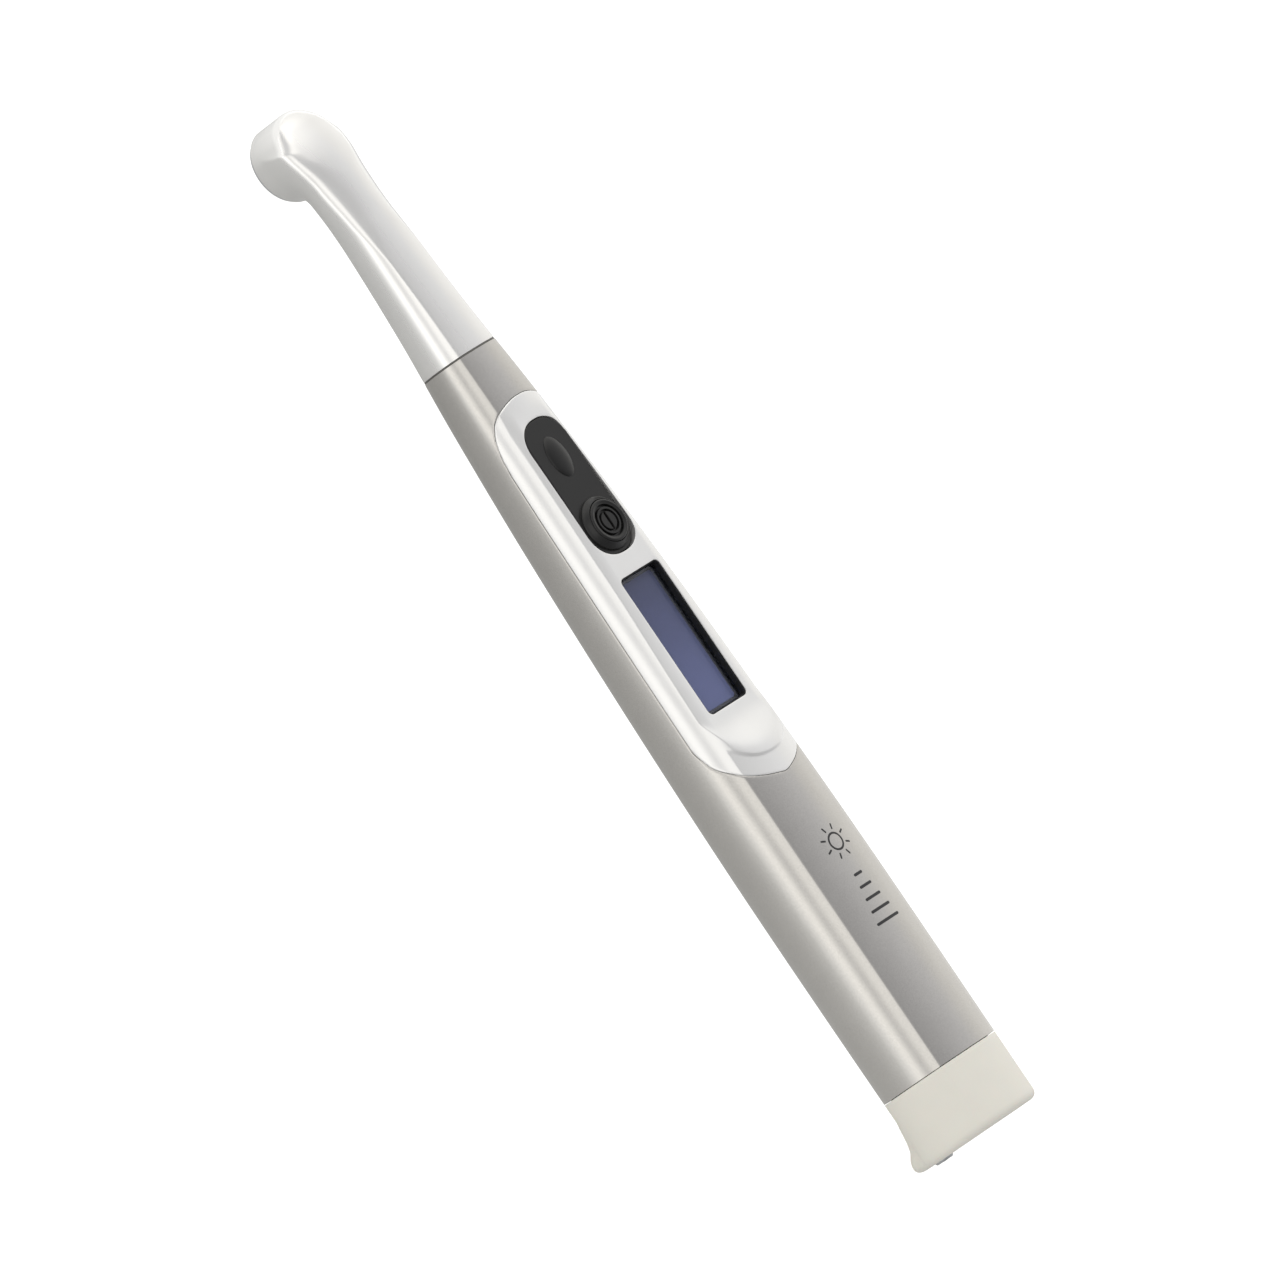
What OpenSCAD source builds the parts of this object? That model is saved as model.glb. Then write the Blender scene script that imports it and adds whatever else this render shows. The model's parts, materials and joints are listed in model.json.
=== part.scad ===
// Cordless pen-style dental curing light.
// +Y runs from the end cap to the tip, +Z is the key side, and the lens looks along -Z.
// The origin is on the body axis, at the flat end face of the end cap. Millimetres.

/* [Body] */
// Length from the end face to the tip
overall_len = 237.9; // [234:0.1:242]
// Radius of the round grip at its widest
grip_r = 12.78; // [12.6:0.01:13]
// Radius of the neck at its narrowest
neck_r = 6.41; // [6.3:0.01:6.6]
// Angle from +Z to the edge of the crowned top, about the body axis
flat_angle = 47; // [45:1:48]
// Depth below the body axis of the axis about which the top is crowned
crown_depth = 9.15; // [9:0.05:9.5]
// Wall of the housing
wall = 1.5; // [1.4:0.1:1.6]
// Wall of the neck
neck_wall = 1.2; // [1.1:0.1:1.3]

/* [Seams] */
// Distance from the end face to the joint between cap and housing
cap_y = 14.8; // [14.5:0.1:15]
// Distance from the end face to the joint between housing and neck
neck_y = 179.3; // [179:0.1:180]
// Rear end of the control fascia
fascia_y0 = 78.7; // [78:0.1:80]
// Front end of the control fascia
fascia_y1 = 167.4; // [167:0.1:168]
// Height of the flat that carries the keys and the display
deck_z = 8.0; // [7.9:0.05:8.1]
// Rear end of the raised lip that closes the deck
lip_y = 83.85; // [83.5:0.05:84.2]
// Height of the lip above the crowned top
lip_h = 0.4; // [0.3:0.05:0.5]

/* [Head] */
// Distance from the lens axis to the tip, which is the head's radius
head_r = 8.0; // [7.9:0.05:8.1]
// Height of the lens ring's rim below the body axis
ring_z = 10.2; // [10:0.1:10.4]
// Outer radius of the lens ring, which takes a light shield or sleeve
ring_r = 7.65; // [7.6:0.01:7.7]
// Exposed height of the lens ring
ring_h = 1.0; // [0.9:0.1:1.1]

/* [Keys] */
// Centre of the power key
power_y = 137.5; // [137:0.1:138]
// Centre of the mode key
mode_y = 153.1; // [152.8:0.1:153.4]
// Width of the rubber keypad
pad_w = 12.3; // [12:0.1:12.5]
// Rear end of the keypad
pad_y0 = 130.9; // [130.7:0.1:131.2]
// Front end of the keypad
pad_y1 = 161.8; // [161.5:0.1:162]
// Radius of the power key's round top
power_r = 4.5; // [4.3:0.1:4.6]

/* [Display] */
// Width of the display opening
window_w = 12.5; // [12.3:0.1:12.7]
// Length of the display opening
window_l = 31.4; // [31:0.1:31.6]
// Centre of the display opening
window_y = 110.9; // [110.7:0.1:111.1]

/* [Battery] */
// Radius of the rechargeable cell
cell_r = 8.0; // [7.8:0.1:8]
// Length of the rechargeable cell
cell_len = 65; // [63:1:65]

/* [Hidden] */
$fn = 96;

// Angles of the flats that make up the crowned top
crown_turns = [-18, 0, 18];
// Gap between pieces that slide past each other
slide_gap = 0.08;
// Gap between fixed pieces that fit into each other
fit_gap = 0.02;
// Half of a box that is larger than the object in every direction
big = 60;

// The round body's radius at its stations along the axis; a smooth curve joins them.
radius_stations = [
    [0, grip_r], [60, grip_r], [100, 12.03], [140, 10.6], [168, 9.0], [190, 7.32],
    [neck_narrow_y(), neck_r], [neck_narrow_y() + 12, neck_r + 0.25]
];
function neck_narrow_y() = 213.5;

lens_y = overall_len - head_r;
sleeve_z = -1.65;
sleeve_r = cell_r + 0.6;
cell_y0 = 12;
seal_depth = 0.7;
plug_y0 = cell_y0 + cell_len + 1;
plug_y1 = plug_y0 + 8;
block_y0 = plug_y1 + slide_gap;
board_z = 0.6;
board_t = 1.0;
board_top = board_z + board_t;
board_y0 = 91.5;
board_y1 = 168;
rib_len = 3;
rib_ys = [91.5, 128, 162];
screw_ys = [rib_ys[0] + rib_len / 2, rib_ys[2] + rib_len / 2];
screw_x = 4.5;
pad_flange_z = 5.6;
pad_top = 7.45;
key_gap = 0.1;
switch_h = 2.0;
plunger_r = 1.6;
plunger_top = board_top + 2.7;
mode_len = 9;
mode_w = 5.2;
lcd_top = 6.0;
window_t = 0.7;
ring_spigot = 1.5;
ring_bore = 6.2;
stud_z = -12.4;
pipe_z = -1.65;

// ---- Curves ----

// Slope of the radius curve at station i, which is level at both ends
function slope(s, i) =
    i == 0 || i == len(s) - 1 ? 0 : (s[i + 1][1] - s[i - 1][1]) / (s[i + 1][0] - s[i - 1][0]);

// Smooth curve through the stations s, read at y
function curve_at(s, y, i = 0) =
    i < len(s) - 2 && y > s[i + 1][0] ? curve_at(s, y, i + 1) :
    let (h = s[i + 1][0] - s[i][0], u = min(1, max(0, (y - s[i][0]) / h)))
    (2 * pow(u, 3) - 3 * pow(u, 2) + 1) * s[i][1]
    + (pow(u, 3) - 2 * pow(u, 2) + u) * h * slope(s, i)
    + (3 * pow(u, 2) - 2 * pow(u, 3)) * s[i + 1][1]
    + (pow(u, 3) - pow(u, 2)) * h * slope(s, i + 1);

function body_r(y) = curve_at(radius_stations, y);

// The crowned top widens a little towards the tip, so its edge angle grows there.
function edge_angle(y) = flat_angle + 8 * min(1, max(0, (y - 100) / (neck_narrow_y() - 100)));

// Height of the crowned top on the centre line: its arc meets the round body at the edge angle.
function crown_z(y) =
    let (r = body_r(y))
    sqrt(r * r + crown_depth * crown_depth + 2 * r * crown_depth * cos(edge_angle(y))) - crown_depth;

// Evenly spread values from a to b in n steps
function steps(a, b, n) = [for (i = [0 : n]) a + (b - a) * i / n];

// ---- Construction ----

// A shape drawn with X across and Y down, raised along +Y from y0 to y1
module across(y0, y1, z = 0) {
    translate([0, y1, z]) rotate([90, 0, 0]) linear_extrude(y1 - y0) children();
}

// A side outline of [y, z] points, w wide and centred on X = 0
module side_block(points, w = 2 * big) {
    rotate([90, 0, 90]) linear_extrude(w, center = true) polygon(points);
}

// A rod or tube along Y
module rod(y0, y1, r, z = 0, bore = 0) {
    across(y0, y1, z) difference() {
        circle(r);
        if (bore > 0) circle(bore);
    }
}

// The body of revolution between y0 and y1, drawn in by inset
module round_body(y0, y1, inset = 0, n = 12) {
    rotate([-90, 0, 0]) rotate_extrude()
        polygon(concat([[0, y0]], [for (y = steps(y0, y1, n)) [body_r(y) - inset, y]], [[0, y1]]));
}

// The space under the crowned top, raised by lift: its arc is cut as flats, each turned about Y
module crown_space(y0, y1, lift = 0, n = 8) {
    intersection_for (turn = crown_turns) rotate([0, turn, 0]) side_block(concat(
        [[y1 + 1, -big], [y0 - 1, -big]],
        [for (y = steps(y0 - 1, y1 + 1, n)) [y, crown_z(y) + crown_depth * (1 - cos(turn)) + lift]]
    ));
}

// The body with its crowned top, drawn in by inset
module flat_body(y0, y1, inset = 0, n = 12) {
    intersection() {
        round_body(y0, y1, inset, n);
        crown_space(y0, y1, -inset, min(n, 8));
    }
}

// A rectangle with round corners, made of circles and bars
module round_rect(w, l, r) {
    square([w - 2 * r, l], center = true);
    square([w, l - 2 * r], center = true);
    for (x = [-1, 1], y = [-1, 1]) translate([x * (w / 2 - r), y * (l / 2 - r)]) circle(r);
}

module plate(w, l, r, y, z0, z1) {
    translate([0, y, z0]) linear_extrude(z1 - z0) round_rect(w, l, r);
}

// A lens outline l long and w wide, made of two arcs
module lens_outline(l, w) {
    arc_r = (pow(l / 2, 2) + pow(w / 2, 2)) / w;
    intersection_for (side = [-1, 1]) translate([side * (arc_r - w / 2), 0]) circle(arc_r);
}

// A disc about the lens axis, between heights z0 and z1
module head_disc(r, z0, z1, bore = 0) {
    translate([0, lens_y, z0]) difference() {
        cylinder(h = z1 - z0, r = r);
        if (bore > 0) translate([0, 0, -1]) cylinder(h = z1 - z0 + 2, r = bore);
    }
}

// ---- Housing and fascia ----

// The space the fascia fills: round ends in plan, and a level seam along each side
module fascia_space(grow = 0) {
    mid = (fascia_y0 + fascia_y1) / 2;
    length = fascia_y1 - fascia_y0 + 2 * grow;
    intersection() {
        translate([0, mid, 0]) linear_extrude(big) round_rect(2 * grip_r + 4, length, 9);
        side_block([
            [fascia_y0 - 2, 3.9 - grow], [fascia_y1 + 2, 2.8 - grow],
            [fascia_y1 + 2, big], [fascia_y0 - 2, big]
        ]);
    }
}

module main_housing() {
    color([0.74, 0.73, 0.71]) difference() {
        flat_body(cap_y + 0.15, neck_y - 0.2, 0, 16);
        flat_body(cap_y - 1, neck_y - 8, wall, 16);
        fascia_space(0.02);
        rod(neck_y - 10, neck_y + 1, 5.0 + fit_gap, -1.1);
        rod(cap_y - 1, block_y0, sleeve_r + slide_gap, sleeve_z);
    }
}

// Side outline of the fascia's top: the raised lip, the ramp, the level deck and the front slope
function deck_line() = [
    [fascia_y0 - 2, crown_z(fascia_y0) + 0.2], [lip_y - 0.4, crown_z(lip_y)],
    [lip_y, crown_z(lip_y) + lip_h], [lip_y + 2, crown_z(lip_y) + lip_h - 0.2],
    [lip_y + 8, deck_z + 0.4], [window_y - window_l / 2, deck_z], [power_y, deck_z],
    [pad_y1 - 2, deck_z - 0.45], [fascia_y1, crown_z(fascia_y1)], [fascia_y1 + 2, crown_z(fascia_y1)]
];

// Side outline of the hollow under the fascia
function hollow_line() = [
    [fascia_y0 - 4, 8.8], [lip_y + 2, 8.8], [lip_y + 10, lcd_top + window_t + 0.05],
    [pad_y0 - 2.5, lcd_top + window_t + 0.05], [pad_y0 - 2.4, pad_flange_z],
    [pad_y1 + 1, pad_flange_z], [fascia_y1 + 4, 4.5]
];

module control_fascia() {
    pad_mid = (pad_y0 + pad_y1) / 2;
    color([0.88, 0.88, 0.88]) difference() {
        intersection() {
            round_body(fascia_y0 - 1, fascia_y1 + 1, 0, 14);
            fascia_space();
            side_block(concat(deck_line(), [[fascia_y1 + 2, 0], [fascia_y0 - 2, 0]]));
            union() {
                crown_space(fascia_y0 - 1, window_y, lip_h, 4);
                translate([-big, window_y - 1, 0]) cube([2 * big, big, big]);
            }
        }
        intersection() {
            flat_body(fascia_y0 - 3, fascia_y1 + 3, wall, 14);
            side_block(concat(hollow_line(), [[fascia_y1 + 4, -big], [fascia_y0 - 4, -big]]));
        }
        plate(pad_w + 0.2, pad_y1 - pad_y0, 6, pad_mid, 0, big);
        plate(pad_w + 1.3, pad_y1 - pad_y0 + 1.1, 6.6, pad_mid, 0, pad_flange_z);
        plate(window_w, window_l, 1.2, window_y, 0, big);
        plate(window_w + 1.6, window_l + 1.6, 1.5, window_y, 0, lcd_top + window_t + 0.05);
    }
}

// ---- Keypad ----

module keypad_mat() {
    mid = (pad_y0 + pad_y1) / 2;
    color([0.2, 0.2, 0.2]) difference() {
        union() {
            plate(pad_w - 0.1, pad_y1 - pad_y0 - 0.3, 5.9, mid, pad_flange_z - 0.1, pad_top);
            plate(pad_w + 1.1, pad_y1 - pad_y0 + 0.9, 6.5, mid, pad_flange_z - 0.8, pad_flange_z);
            translate([0, power_y, pad_top - 0.5]) cylinder(h = 1.2, r = power_r + 1.0);
        }
        translate([0, power_y, 0]) cylinder(h = big, r = power_r + key_gap);
        translate([0, mode_y, 0]) linear_extrude(big)
            lens_outline(mode_len + 2 * key_gap, mode_w + 2 * key_gap);
    }
}

module power_key() {
    color([0.17, 0.17, 0.17]) translate([0, power_y, 0]) difference() {
        union() {
            translate([0, 0, pad_flange_z]) cylinder(h = 3.4, r = power_r);
            translate([0, 0, pad_flange_z + 3.4]) cylinder(h = 0.3, r1 = power_r, r2 = power_r - 0.3);
            translate([0, 0, plunger_top + fit_gap]) cylinder(h = 2, r = 1.5);
        }
        translate([0, 0, 9.0]) difference() {
            cylinder(h = 1, r = 3.3);
            cylinder(h = 0.2, r = 2.9);
        }
    }
}

module mode_key() {
    color([0.2, 0.2, 0.2]) translate([0, mode_y, 0]) {
        intersection() {
            translate([0, 0, pad_flange_z]) linear_extrude(3) lens_outline(mode_len, mode_w);
            translate([0, 0, -4.0]) sphere(12.3);
        }
        translate([0, 0, plunger_top + fit_gap]) cylinder(h = 2, r = 1.5);
    }
}

// A tactile switch under each key, with a moving plunger in its bore
module switch_body(y) {
    translate([0, y, board_top]) difference() {
        translate([-3, -3, 0]) cube([6, 6, switch_h]);
        translate([0, 0, 0.5]) cylinder(h = switch_h, r = plunger_r + key_gap);
    }
}

module switch_plunger(y) {
    translate([0, y, board_top + 1.1]) cylinder(h = plunger_top - board_top - 1.1, r = plunger_r);
}

module power_switch() { color([0.15, 0.15, 0.16]) switch_body(power_y); }
module mode_switch() { color([0.15, 0.15, 0.16]) switch_body(mode_y); }
module power_plunger() { color([0.8, 0.6, 0.2]) switch_plunger(power_y); }
module mode_plunger() { color([0.8, 0.6, 0.2]) switch_plunger(mode_y); }

// ---- Display ----

module display_bezel() {
    color([0.08, 0.08, 0.09]) difference() {
        plate(window_w - 0.1, window_l - 0.1, 1.15, window_y, lcd_top + window_t + 0.05, deck_z - 0.05);
        plate(window_w - 0.7, window_l - 0.7, 0.85, window_y, 0, big);
    }
}

module display_window() {
    color([0.5, 0.55, 0.6, 0.4])
        plate(window_w + 1.5, window_l + 1.5, 1.45, window_y, lcd_top, lcd_top + window_t);
}

module lcd_module() {
    color([0.38, 0.4, 0.51]) plate(window_w + 0.9, window_l + 2, 0.4, window_y, 4.0, lcd_top);
}

module lcd_backlight() {
    color([0.93, 0.94, 0.95]) plate(11.4, 27.6, 0.4, window_y, 2.4, 4.0);
}

module zebra_strips() {
    color([0.25, 0.45, 0.6]) for (side = [-1, 1])
        translate([-5.2, window_y + side * 15.2 - 1, board_top]) cube([10.4, 2, 4.0 - board_top]);
}

// ---- Circuit board ----

module main_board() {
    color([0.08, 0.35, 0.18]) difference() {
        translate([-6, board_y0, board_z]) cube([12, board_y1 - board_y0, board_t]);
        for (x = [-1, 1], y = screw_ys) translate([x * screw_x, y, 0]) cylinder(h = 5, r = 0.9);
    }
}

module microcontroller() {
    color([0.12, 0.12, 0.13]) translate([-3.5, 114, board_z - 1]) cube([7, 7, 1]);
}

module power_inductor() {
    color([0.3, 0.3, 0.32]) {
        translate([-3.5, 133, board_z - 0.6]) cube([7, 7, 0.6]);
        translate([0, 136.5, board_z - 3]) cylinder(h = 2.5, r = 3.2);
    }
}

module capacitors() {
    color([0.72, 0.6, 0.4]) for (x = [-3.6, 0, 3.6])
        translate([x - 1.2, 144, board_z - 1.6]) cube([2.4, 3.2, 1.6]);
}

module buzzer() {
    color([0.1, 0.1, 0.1]) translate([0, 103.5, board_z - 2.8]) difference() {
        cylinder(h = 2.8, r = 4.5);
        translate([0, 0, -0.1]) cylinder(h = 1.1, r = 0.8);
    }
}

module led_connector() {
    color([0.9, 0.88, 0.8]) translate([-2.5, 160, board_top]) difference() {
        cube([5, 6.5, 2.2]);
        translate([0.6, 2, 0.6]) cube([3.8, 5, 1.1]);
    }
}

module board_screws() {
    color([0.7, 0.7, 0.72]) for (x = [-1, 1], y = screw_ys) translate([x * screw_x, y, 0]) {
        difference() {
            translate([0, 0, board_top]) cylinder(h = 0.9, r = 1.3);
            translate([0, 0, board_top + 0.5]) cylinder(h = 1, r = 0.7, $fn = 6);
        }
        translate([0, 0, board_z - 3]) cylinder(h = 4.0, r = 0.78);
    }
}

// A half-pipe tray, cross ribs that carry the board, and a pilot hole for each screw
module chassis() {
    color([0.35, 0.36, 0.38]) difference() {
        intersection() {
            flat_body(board_y0 - 0.2, board_y1 + 1, wall + 0.05, 10);
            translate([-big, 0, -big]) cube([2 * big, 200, big + board_z]);
        }
        difference() {
            flat_body(board_y0 - 1, board_y1 + 2, wall + 1.2, 10);
            for (y = rib_ys) translate([-big, y, -big]) cube([2 * big, rib_len, 2 * big]);
        }
        for (y = rib_ys) rod(y - 0.1, y + rib_len + 0.1, 2.4, -4);
        for (x = [-1, 1], y = screw_ys) translate([x * screw_x, y, board_z - 3.5])
            cylinder(h = 4, r = 0.8);
    }
}

// An insulating wall at the end of the battery bay, with two sprung contacts through it
module contact_block() {
    color([0.2, 0.22, 0.25]) difference() {
        intersection() {
            flat_body(block_y0, board_y0 - 0.3, wall + 0.05, 4);
            translate([-big, 0, -big]) cube([2 * big, 200, big + 4]);
        }
        for (z = [sleeve_z, sleeve_z - 5]) rod(block_y0 - 1, board_y0, 1.0, z);
    }
}

module battery_contacts() {
    color([0.85, 0.7, 0.3]) for (z = [sleeve_z, sleeve_z - 5]) {
        rod(block_y0 - 0.05, board_y0 - 0.3, 0.95, z);
    }
}

// ---- Neck and head ----

// Side outline of the head's back, which drops to the tip
module neck_back(inset = 0) {
    side_block([
        [overall_len + 2, -big], [neck_y - 2, -big], [neck_y - 2, big], [neck_narrow_y(), big],
        [neck_narrow_y(), 4.75 - inset], [222, 4.3 - inset], [228, 3.5 - inset], [233, 2.2 - inset],
        [238, -0.6 - inset], [overall_len + 2, -2 - inset]
    ]);
}

module neck_form(inset, bottom) {
    intersection() {
        union() {
            flat_body(neck_y + 0.2, lens_y - 4, inset, 14);
            head_disc(head_r - inset, bottom, 6);
        }
        neck_back(inset);
    }
}

module neck_shell() {
    color([0.86, 0.86, 0.85]) difference() {
        neck_form(0, ring_h - ring_z);
        intersection() {
            neck_form(neck_wall, -big);
            translate([-big, neck_y + 8, -big]) cube([2 * big, big, 2 * big]);
        }
        rod(neck_y - 1, neck_y + 9, 5.0 + fit_gap, -1.1);
    }
}

module neck_gasket() {
    color([0.25, 0.25, 0.25]) difference() {
        flat_body(neck_y - 0.2, neck_y + 0.2, 0.25, 2);
        rod(neck_y - 1, neck_y + 1, 5.0 + fit_gap, -1.1);
    }
}

module neck_collar() {
    color([0.6, 0.6, 0.62]) rod(neck_y - 8, neck_y + 8, 5.0, -1.1, 3.6);
}

module lens_ring() {
    spigot_r = head_r - neck_wall - fit_gap;
    color([0.85, 0.86, 0.88]) {
        head_disc(ring_r, -ring_z, ring_h - ring_z, ring_bore);
        head_disc(spigot_r, ring_h - ring_z, ring_h - ring_z + ring_spigot, ring_bore);
    }
}

module front_lens() {
    color([0.85, 0.92, 1.0, 0.4]) {
        head_disc(ring_bore - fit_gap, -ring_z + 0.3, -ring_z + 1.6);
    }
}

module lens_gasket() {
    color([0.15, 0.15, 0.15]) head_disc(ring_bore - fit_gap, -ring_z + 1.6, -ring_z + 2.3, 5.3);
}

module led_reflector() {
    color([0.9, 0.9, 0.92]) translate([0, lens_y, -ring_z + 2.3]) difference() {
        cylinder(h = 4.2, r = 6.1);
        translate([0, 0, -0.01]) cylinder(h = 4.3, r1 = 5.3, r2 = 2.2);
    }
}

module led_emitter() {
    color([0.95, 0.85, 0.4]) intersection() {
        head_disc(2.0, -4.7, -3.7);
        translate([0, lens_y, -3.4]) sphere(2.4);
    }
}

module led_board() {
    color([0.9, 0.9, 0.88]) head_disc(6.1, -3.7, -2.7);
}

module heat_slug() {
    color([0.75, 0.76, 0.78]) difference() {
        head_disc(6.1, -2.7, -0.9);
        rod(neck_y + 5, lens_y + 1, 1.0 + fit_gap, pipe_z);
    }
}

module heat_pipe() {
    color([0.75, 0.45, 0.3]) rod(neck_y - 6, lens_y, 1.0, pipe_z);
}

module led_wires() {
    for (side = [-1, 1]) color(side > 0 ? [0.7, 0.1, 0.1] : [0.1, 0.1, 0.1])
        translate([side * 1.8, 0, 0]) rod(neck_y - 7, lens_y - 7, 0.5, 0);
}

// ---- Battery pack ----

// The cap's outline is the body's, and a heel flares out below it towards the end face.
module cap_form() {
    heel_low = -15.2;
    intersection() {
        flat_body(0, cap_y, 0, 1);
        translate([0, 1.5, 0]) rotate([-90, 0, 0]) union() {
            cylinder(h = cap_y, r = grip_r + 1);
            translate([0, 0, -1.5]) cylinder(h = 1.5, r1 = grip_r - 1.1, r2 = grip_r + 0.1);
        }
    }
    intersection() {
        side_block([
            [0, -8], [0, heel_low + 1], [0.4, heel_low + 0.3], [1.2, heel_low], [2.6, heel_low + 0.3],
            [4.5, heel_low + 0.9], [7, heel_low + 1.6], [10, heel_low + 2.2], [13, -grip_r + 0.1],
            [13, -8]
        ]);
        across(-1, cap_y, -10) union() {
            square([2 * 7.5, 2 * 2.7], center = true);
            translate([0, -2.7]) round_rect(2 * 7.5, 5.2, 2.2);
        }
    }
}

module end_cap() {
    color([0.87, 0.85, 0.8]) difference() {
        union() {
            cap_form();
            flat_body(cap_y - 1, cap_y + 5, wall + slide_gap, 1);
        }
        flat_body(8, cap_y + 6, wall + 2.2, 1);
        rod(7, cap_y + 6, sleeve_r + fit_gap, sleeve_z);
        difference() {
            flat_body(cap_y + 1.4, cap_y + 3, 0, 1);
            flat_body(cap_y + 1, cap_y + 4, wall + seal_depth, 1);
        }
        rod(-1, 5, 2.0 + fit_gap, stud_z);
    }
}

module seal_ring() {
    color([0.15, 0.15, 0.16]) difference() {
        flat_body(cap_y + 1.45, cap_y + 2.95, wall + 0.04, 1);
        flat_body(cap_y, cap_y + 4, wall + seal_depth, 1);
    }
}

module battery_sleeve() {
    color([0.82, 0.82, 0.8]) rod(7.5, plug_y1 - 1, sleeve_r, sleeve_z, cell_r + 0.05);
}

module battery_cell() {
    color([0.2, 0.4, 0.65]) {
        rod(cell_y0, cell_y0 + cell_len - 0.8, cell_r, sleeve_z);
        rod(cell_y0 + cell_len - 0.8, cell_y0 + cell_len, 2.8, sleeve_z);
    }
}

module cell_insulator() {
    color([0.9, 0.88, 0.75]) rod(cell_y0 + cell_len - 0.8, cell_y0 + cell_len, cell_r, sleeve_z, 3.0);
}

module protection_board() {
    color([0.08, 0.35, 0.18]) rod(9.5, 10.7, cell_r - 0.3, sleeve_z);
}

module pack_plug() {
    color([0.15, 0.16, 0.18]) difference() {
        union() {
            rod(plug_y0, plug_y1 - 1, cell_r + 0.03, sleeve_z);
            rod(plug_y1 - 1, plug_y1, sleeve_r, sleeve_z);
        }
        rod(plug_y1 - 2, plug_y1 + 1, 1.4, sleeve_z);
        rod(plug_y1 - 2, plug_y1 + 1, 6.2, sleeve_z, 3.8);
    }
}

module pack_terminals() {
    color([0.85, 0.7, 0.3]) {
        rod(plug_y1 - 2, plug_y1, 1.38, sleeve_z);
        rod(plug_y1 - 2, plug_y1, 6.18, sleeve_z, 3.82);
    }
}

// The charging stud: a pin, an insulating tube and a ring on one axis
module charge_pin() {
    color([0.75, 0.78, 0.85]) rod(-0.5, 5, 0.8, stud_z);
}

module charge_insulator() {
    color([0.2, 0.2, 0.22]) rod(-0.35, 5, 1.3, stud_z, 0.8 + fit_gap);
}

module charge_ring() {
    color([0.75, 0.78, 0.85]) rod(-0.45, 5, 2.0, stud_z, 1.3 + fit_gap);
}

main_housing();
control_fascia();
keypad_mat();
power_key();
mode_key();
power_switch();
mode_switch();
power_plunger();
mode_plunger();
display_bezel();
display_window();
lcd_module();
lcd_backlight();
zebra_strips();
main_board();
microcontroller();
power_inductor();
capacitors();
buzzer();
led_connector();
board_screws();
chassis();
contact_block();
battery_contacts();
neck_shell();
neck_gasket();
neck_collar();
lens_ring();
front_lens();
lens_gasket();
led_reflector();
led_emitter();
led_board();
heat_slug();
heat_pipe();
led_wires();
end_cap();
seal_ring();
battery_sleeve();
battery_cell();
cell_insulator();
protection_board();
pack_plug();
pack_terminals();
charge_pin();
charge_insulator();
charge_ring();
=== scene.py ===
import json
import math

import bmesh
import bpy
import numpy as np
from mathutils import Matrix, Vector


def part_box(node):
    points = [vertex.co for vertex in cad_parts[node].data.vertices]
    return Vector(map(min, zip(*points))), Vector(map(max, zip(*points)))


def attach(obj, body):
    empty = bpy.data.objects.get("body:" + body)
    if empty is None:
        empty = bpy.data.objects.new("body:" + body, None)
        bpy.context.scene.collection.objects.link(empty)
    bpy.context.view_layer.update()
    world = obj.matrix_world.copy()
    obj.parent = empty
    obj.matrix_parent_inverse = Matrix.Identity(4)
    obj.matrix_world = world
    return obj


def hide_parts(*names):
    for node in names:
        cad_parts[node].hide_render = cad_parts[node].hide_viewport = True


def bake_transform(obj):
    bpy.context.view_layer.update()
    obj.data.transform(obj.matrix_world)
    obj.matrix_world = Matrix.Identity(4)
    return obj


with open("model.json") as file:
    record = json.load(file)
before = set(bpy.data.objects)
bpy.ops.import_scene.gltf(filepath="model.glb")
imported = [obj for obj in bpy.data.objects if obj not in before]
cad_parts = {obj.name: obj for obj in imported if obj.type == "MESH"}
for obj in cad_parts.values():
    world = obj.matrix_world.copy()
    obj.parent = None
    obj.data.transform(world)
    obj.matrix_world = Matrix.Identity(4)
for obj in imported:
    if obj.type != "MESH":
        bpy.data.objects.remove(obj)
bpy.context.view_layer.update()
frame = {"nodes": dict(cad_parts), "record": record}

# A cordless dental curing light. Shapes are worked out in millimetres in the frame's axes:
# +Y from the end cap to the tip, +Z on the key side, the lens looks along -Z.
MM = 0.001
ROOT = "handpiece"


def span(node):
    """Lowest and highest corner of a CAD node, in millimetres"""
    low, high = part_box(node)
    return np.array(low) / MM, np.array(high) / MM


# ---- Places, from the frame ----

CAP_FACE_Y = 0.0
HOUSING_Y0 = span("main_housing")[0][1]
# the end cap stops just short of the housing
CAP_END_Y = 14.79
HOUSING_Y1 = span("main_housing")[1][1]
NECK_Y0 = span("neck_shell")[0][1]
TIP_Y = span("neck_shell")[1][1]
RING_LOW = span("lens_ring")[0][2]
RING_MID = (span("lens_ring")[0] + span("lens_ring")[1]) / 2
LENS_Y = RING_MID[1]
RING_R = (span("lens_ring")[1][0] - span("lens_ring")[0][0]) / 2
SHELL_LOW = span("neck_shell")[0][2]
HEAD_R = TIP_Y - LENS_Y
# the fascia's openings: the mat's flange reaches under the edge of the first, the bezel fits the second
PAD_Y0, PAD_Y1 = span("keypad_mat")[0][1] + 0.45, span("keypad_mat")[1][1] - 0.45
PAD_W = span("keypad_mat")[1][0] - span("keypad_mat")[0][0] - 1.1
POWER_Y = (span("power_key")[0][1] + span("power_key")[1][1]) / 2
MODE_Y = (span("mode_key")[0][1] + span("mode_key")[1][1]) / 2
WINDOW_Y = (span("display_bezel")[0][1] + span("display_bezel")[1][1]) / 2
WINDOW_L = span("display_bezel")[1][1] - span("display_bezel")[0][1] + 0.1
WINDOW_W = span("display_bezel")[1][0] - span("display_bezel")[0][0] + 0.1
LCD_TOP = span("lcd_module")[1][2]
# ends of the painted shade and light on the screen: darker at its end towards the tip, lighter at its end
# towards the cap
LCD_PAINTED_SHADE_Y, LCD_PAINTED_LIGHT_Y = WINDOW_Y + WINDOW_L / 2, WINDOW_Y - WINDOW_L / 2
STUD_Z = (span("charge_ring")[0][2] + span("charge_ring")[1][2]) / 2
HEEL_LOW = span("end_cap")[0][2]

# walls of the housing and the neck
WALL = 1.5
NECK_WALL = 1.2
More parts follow.
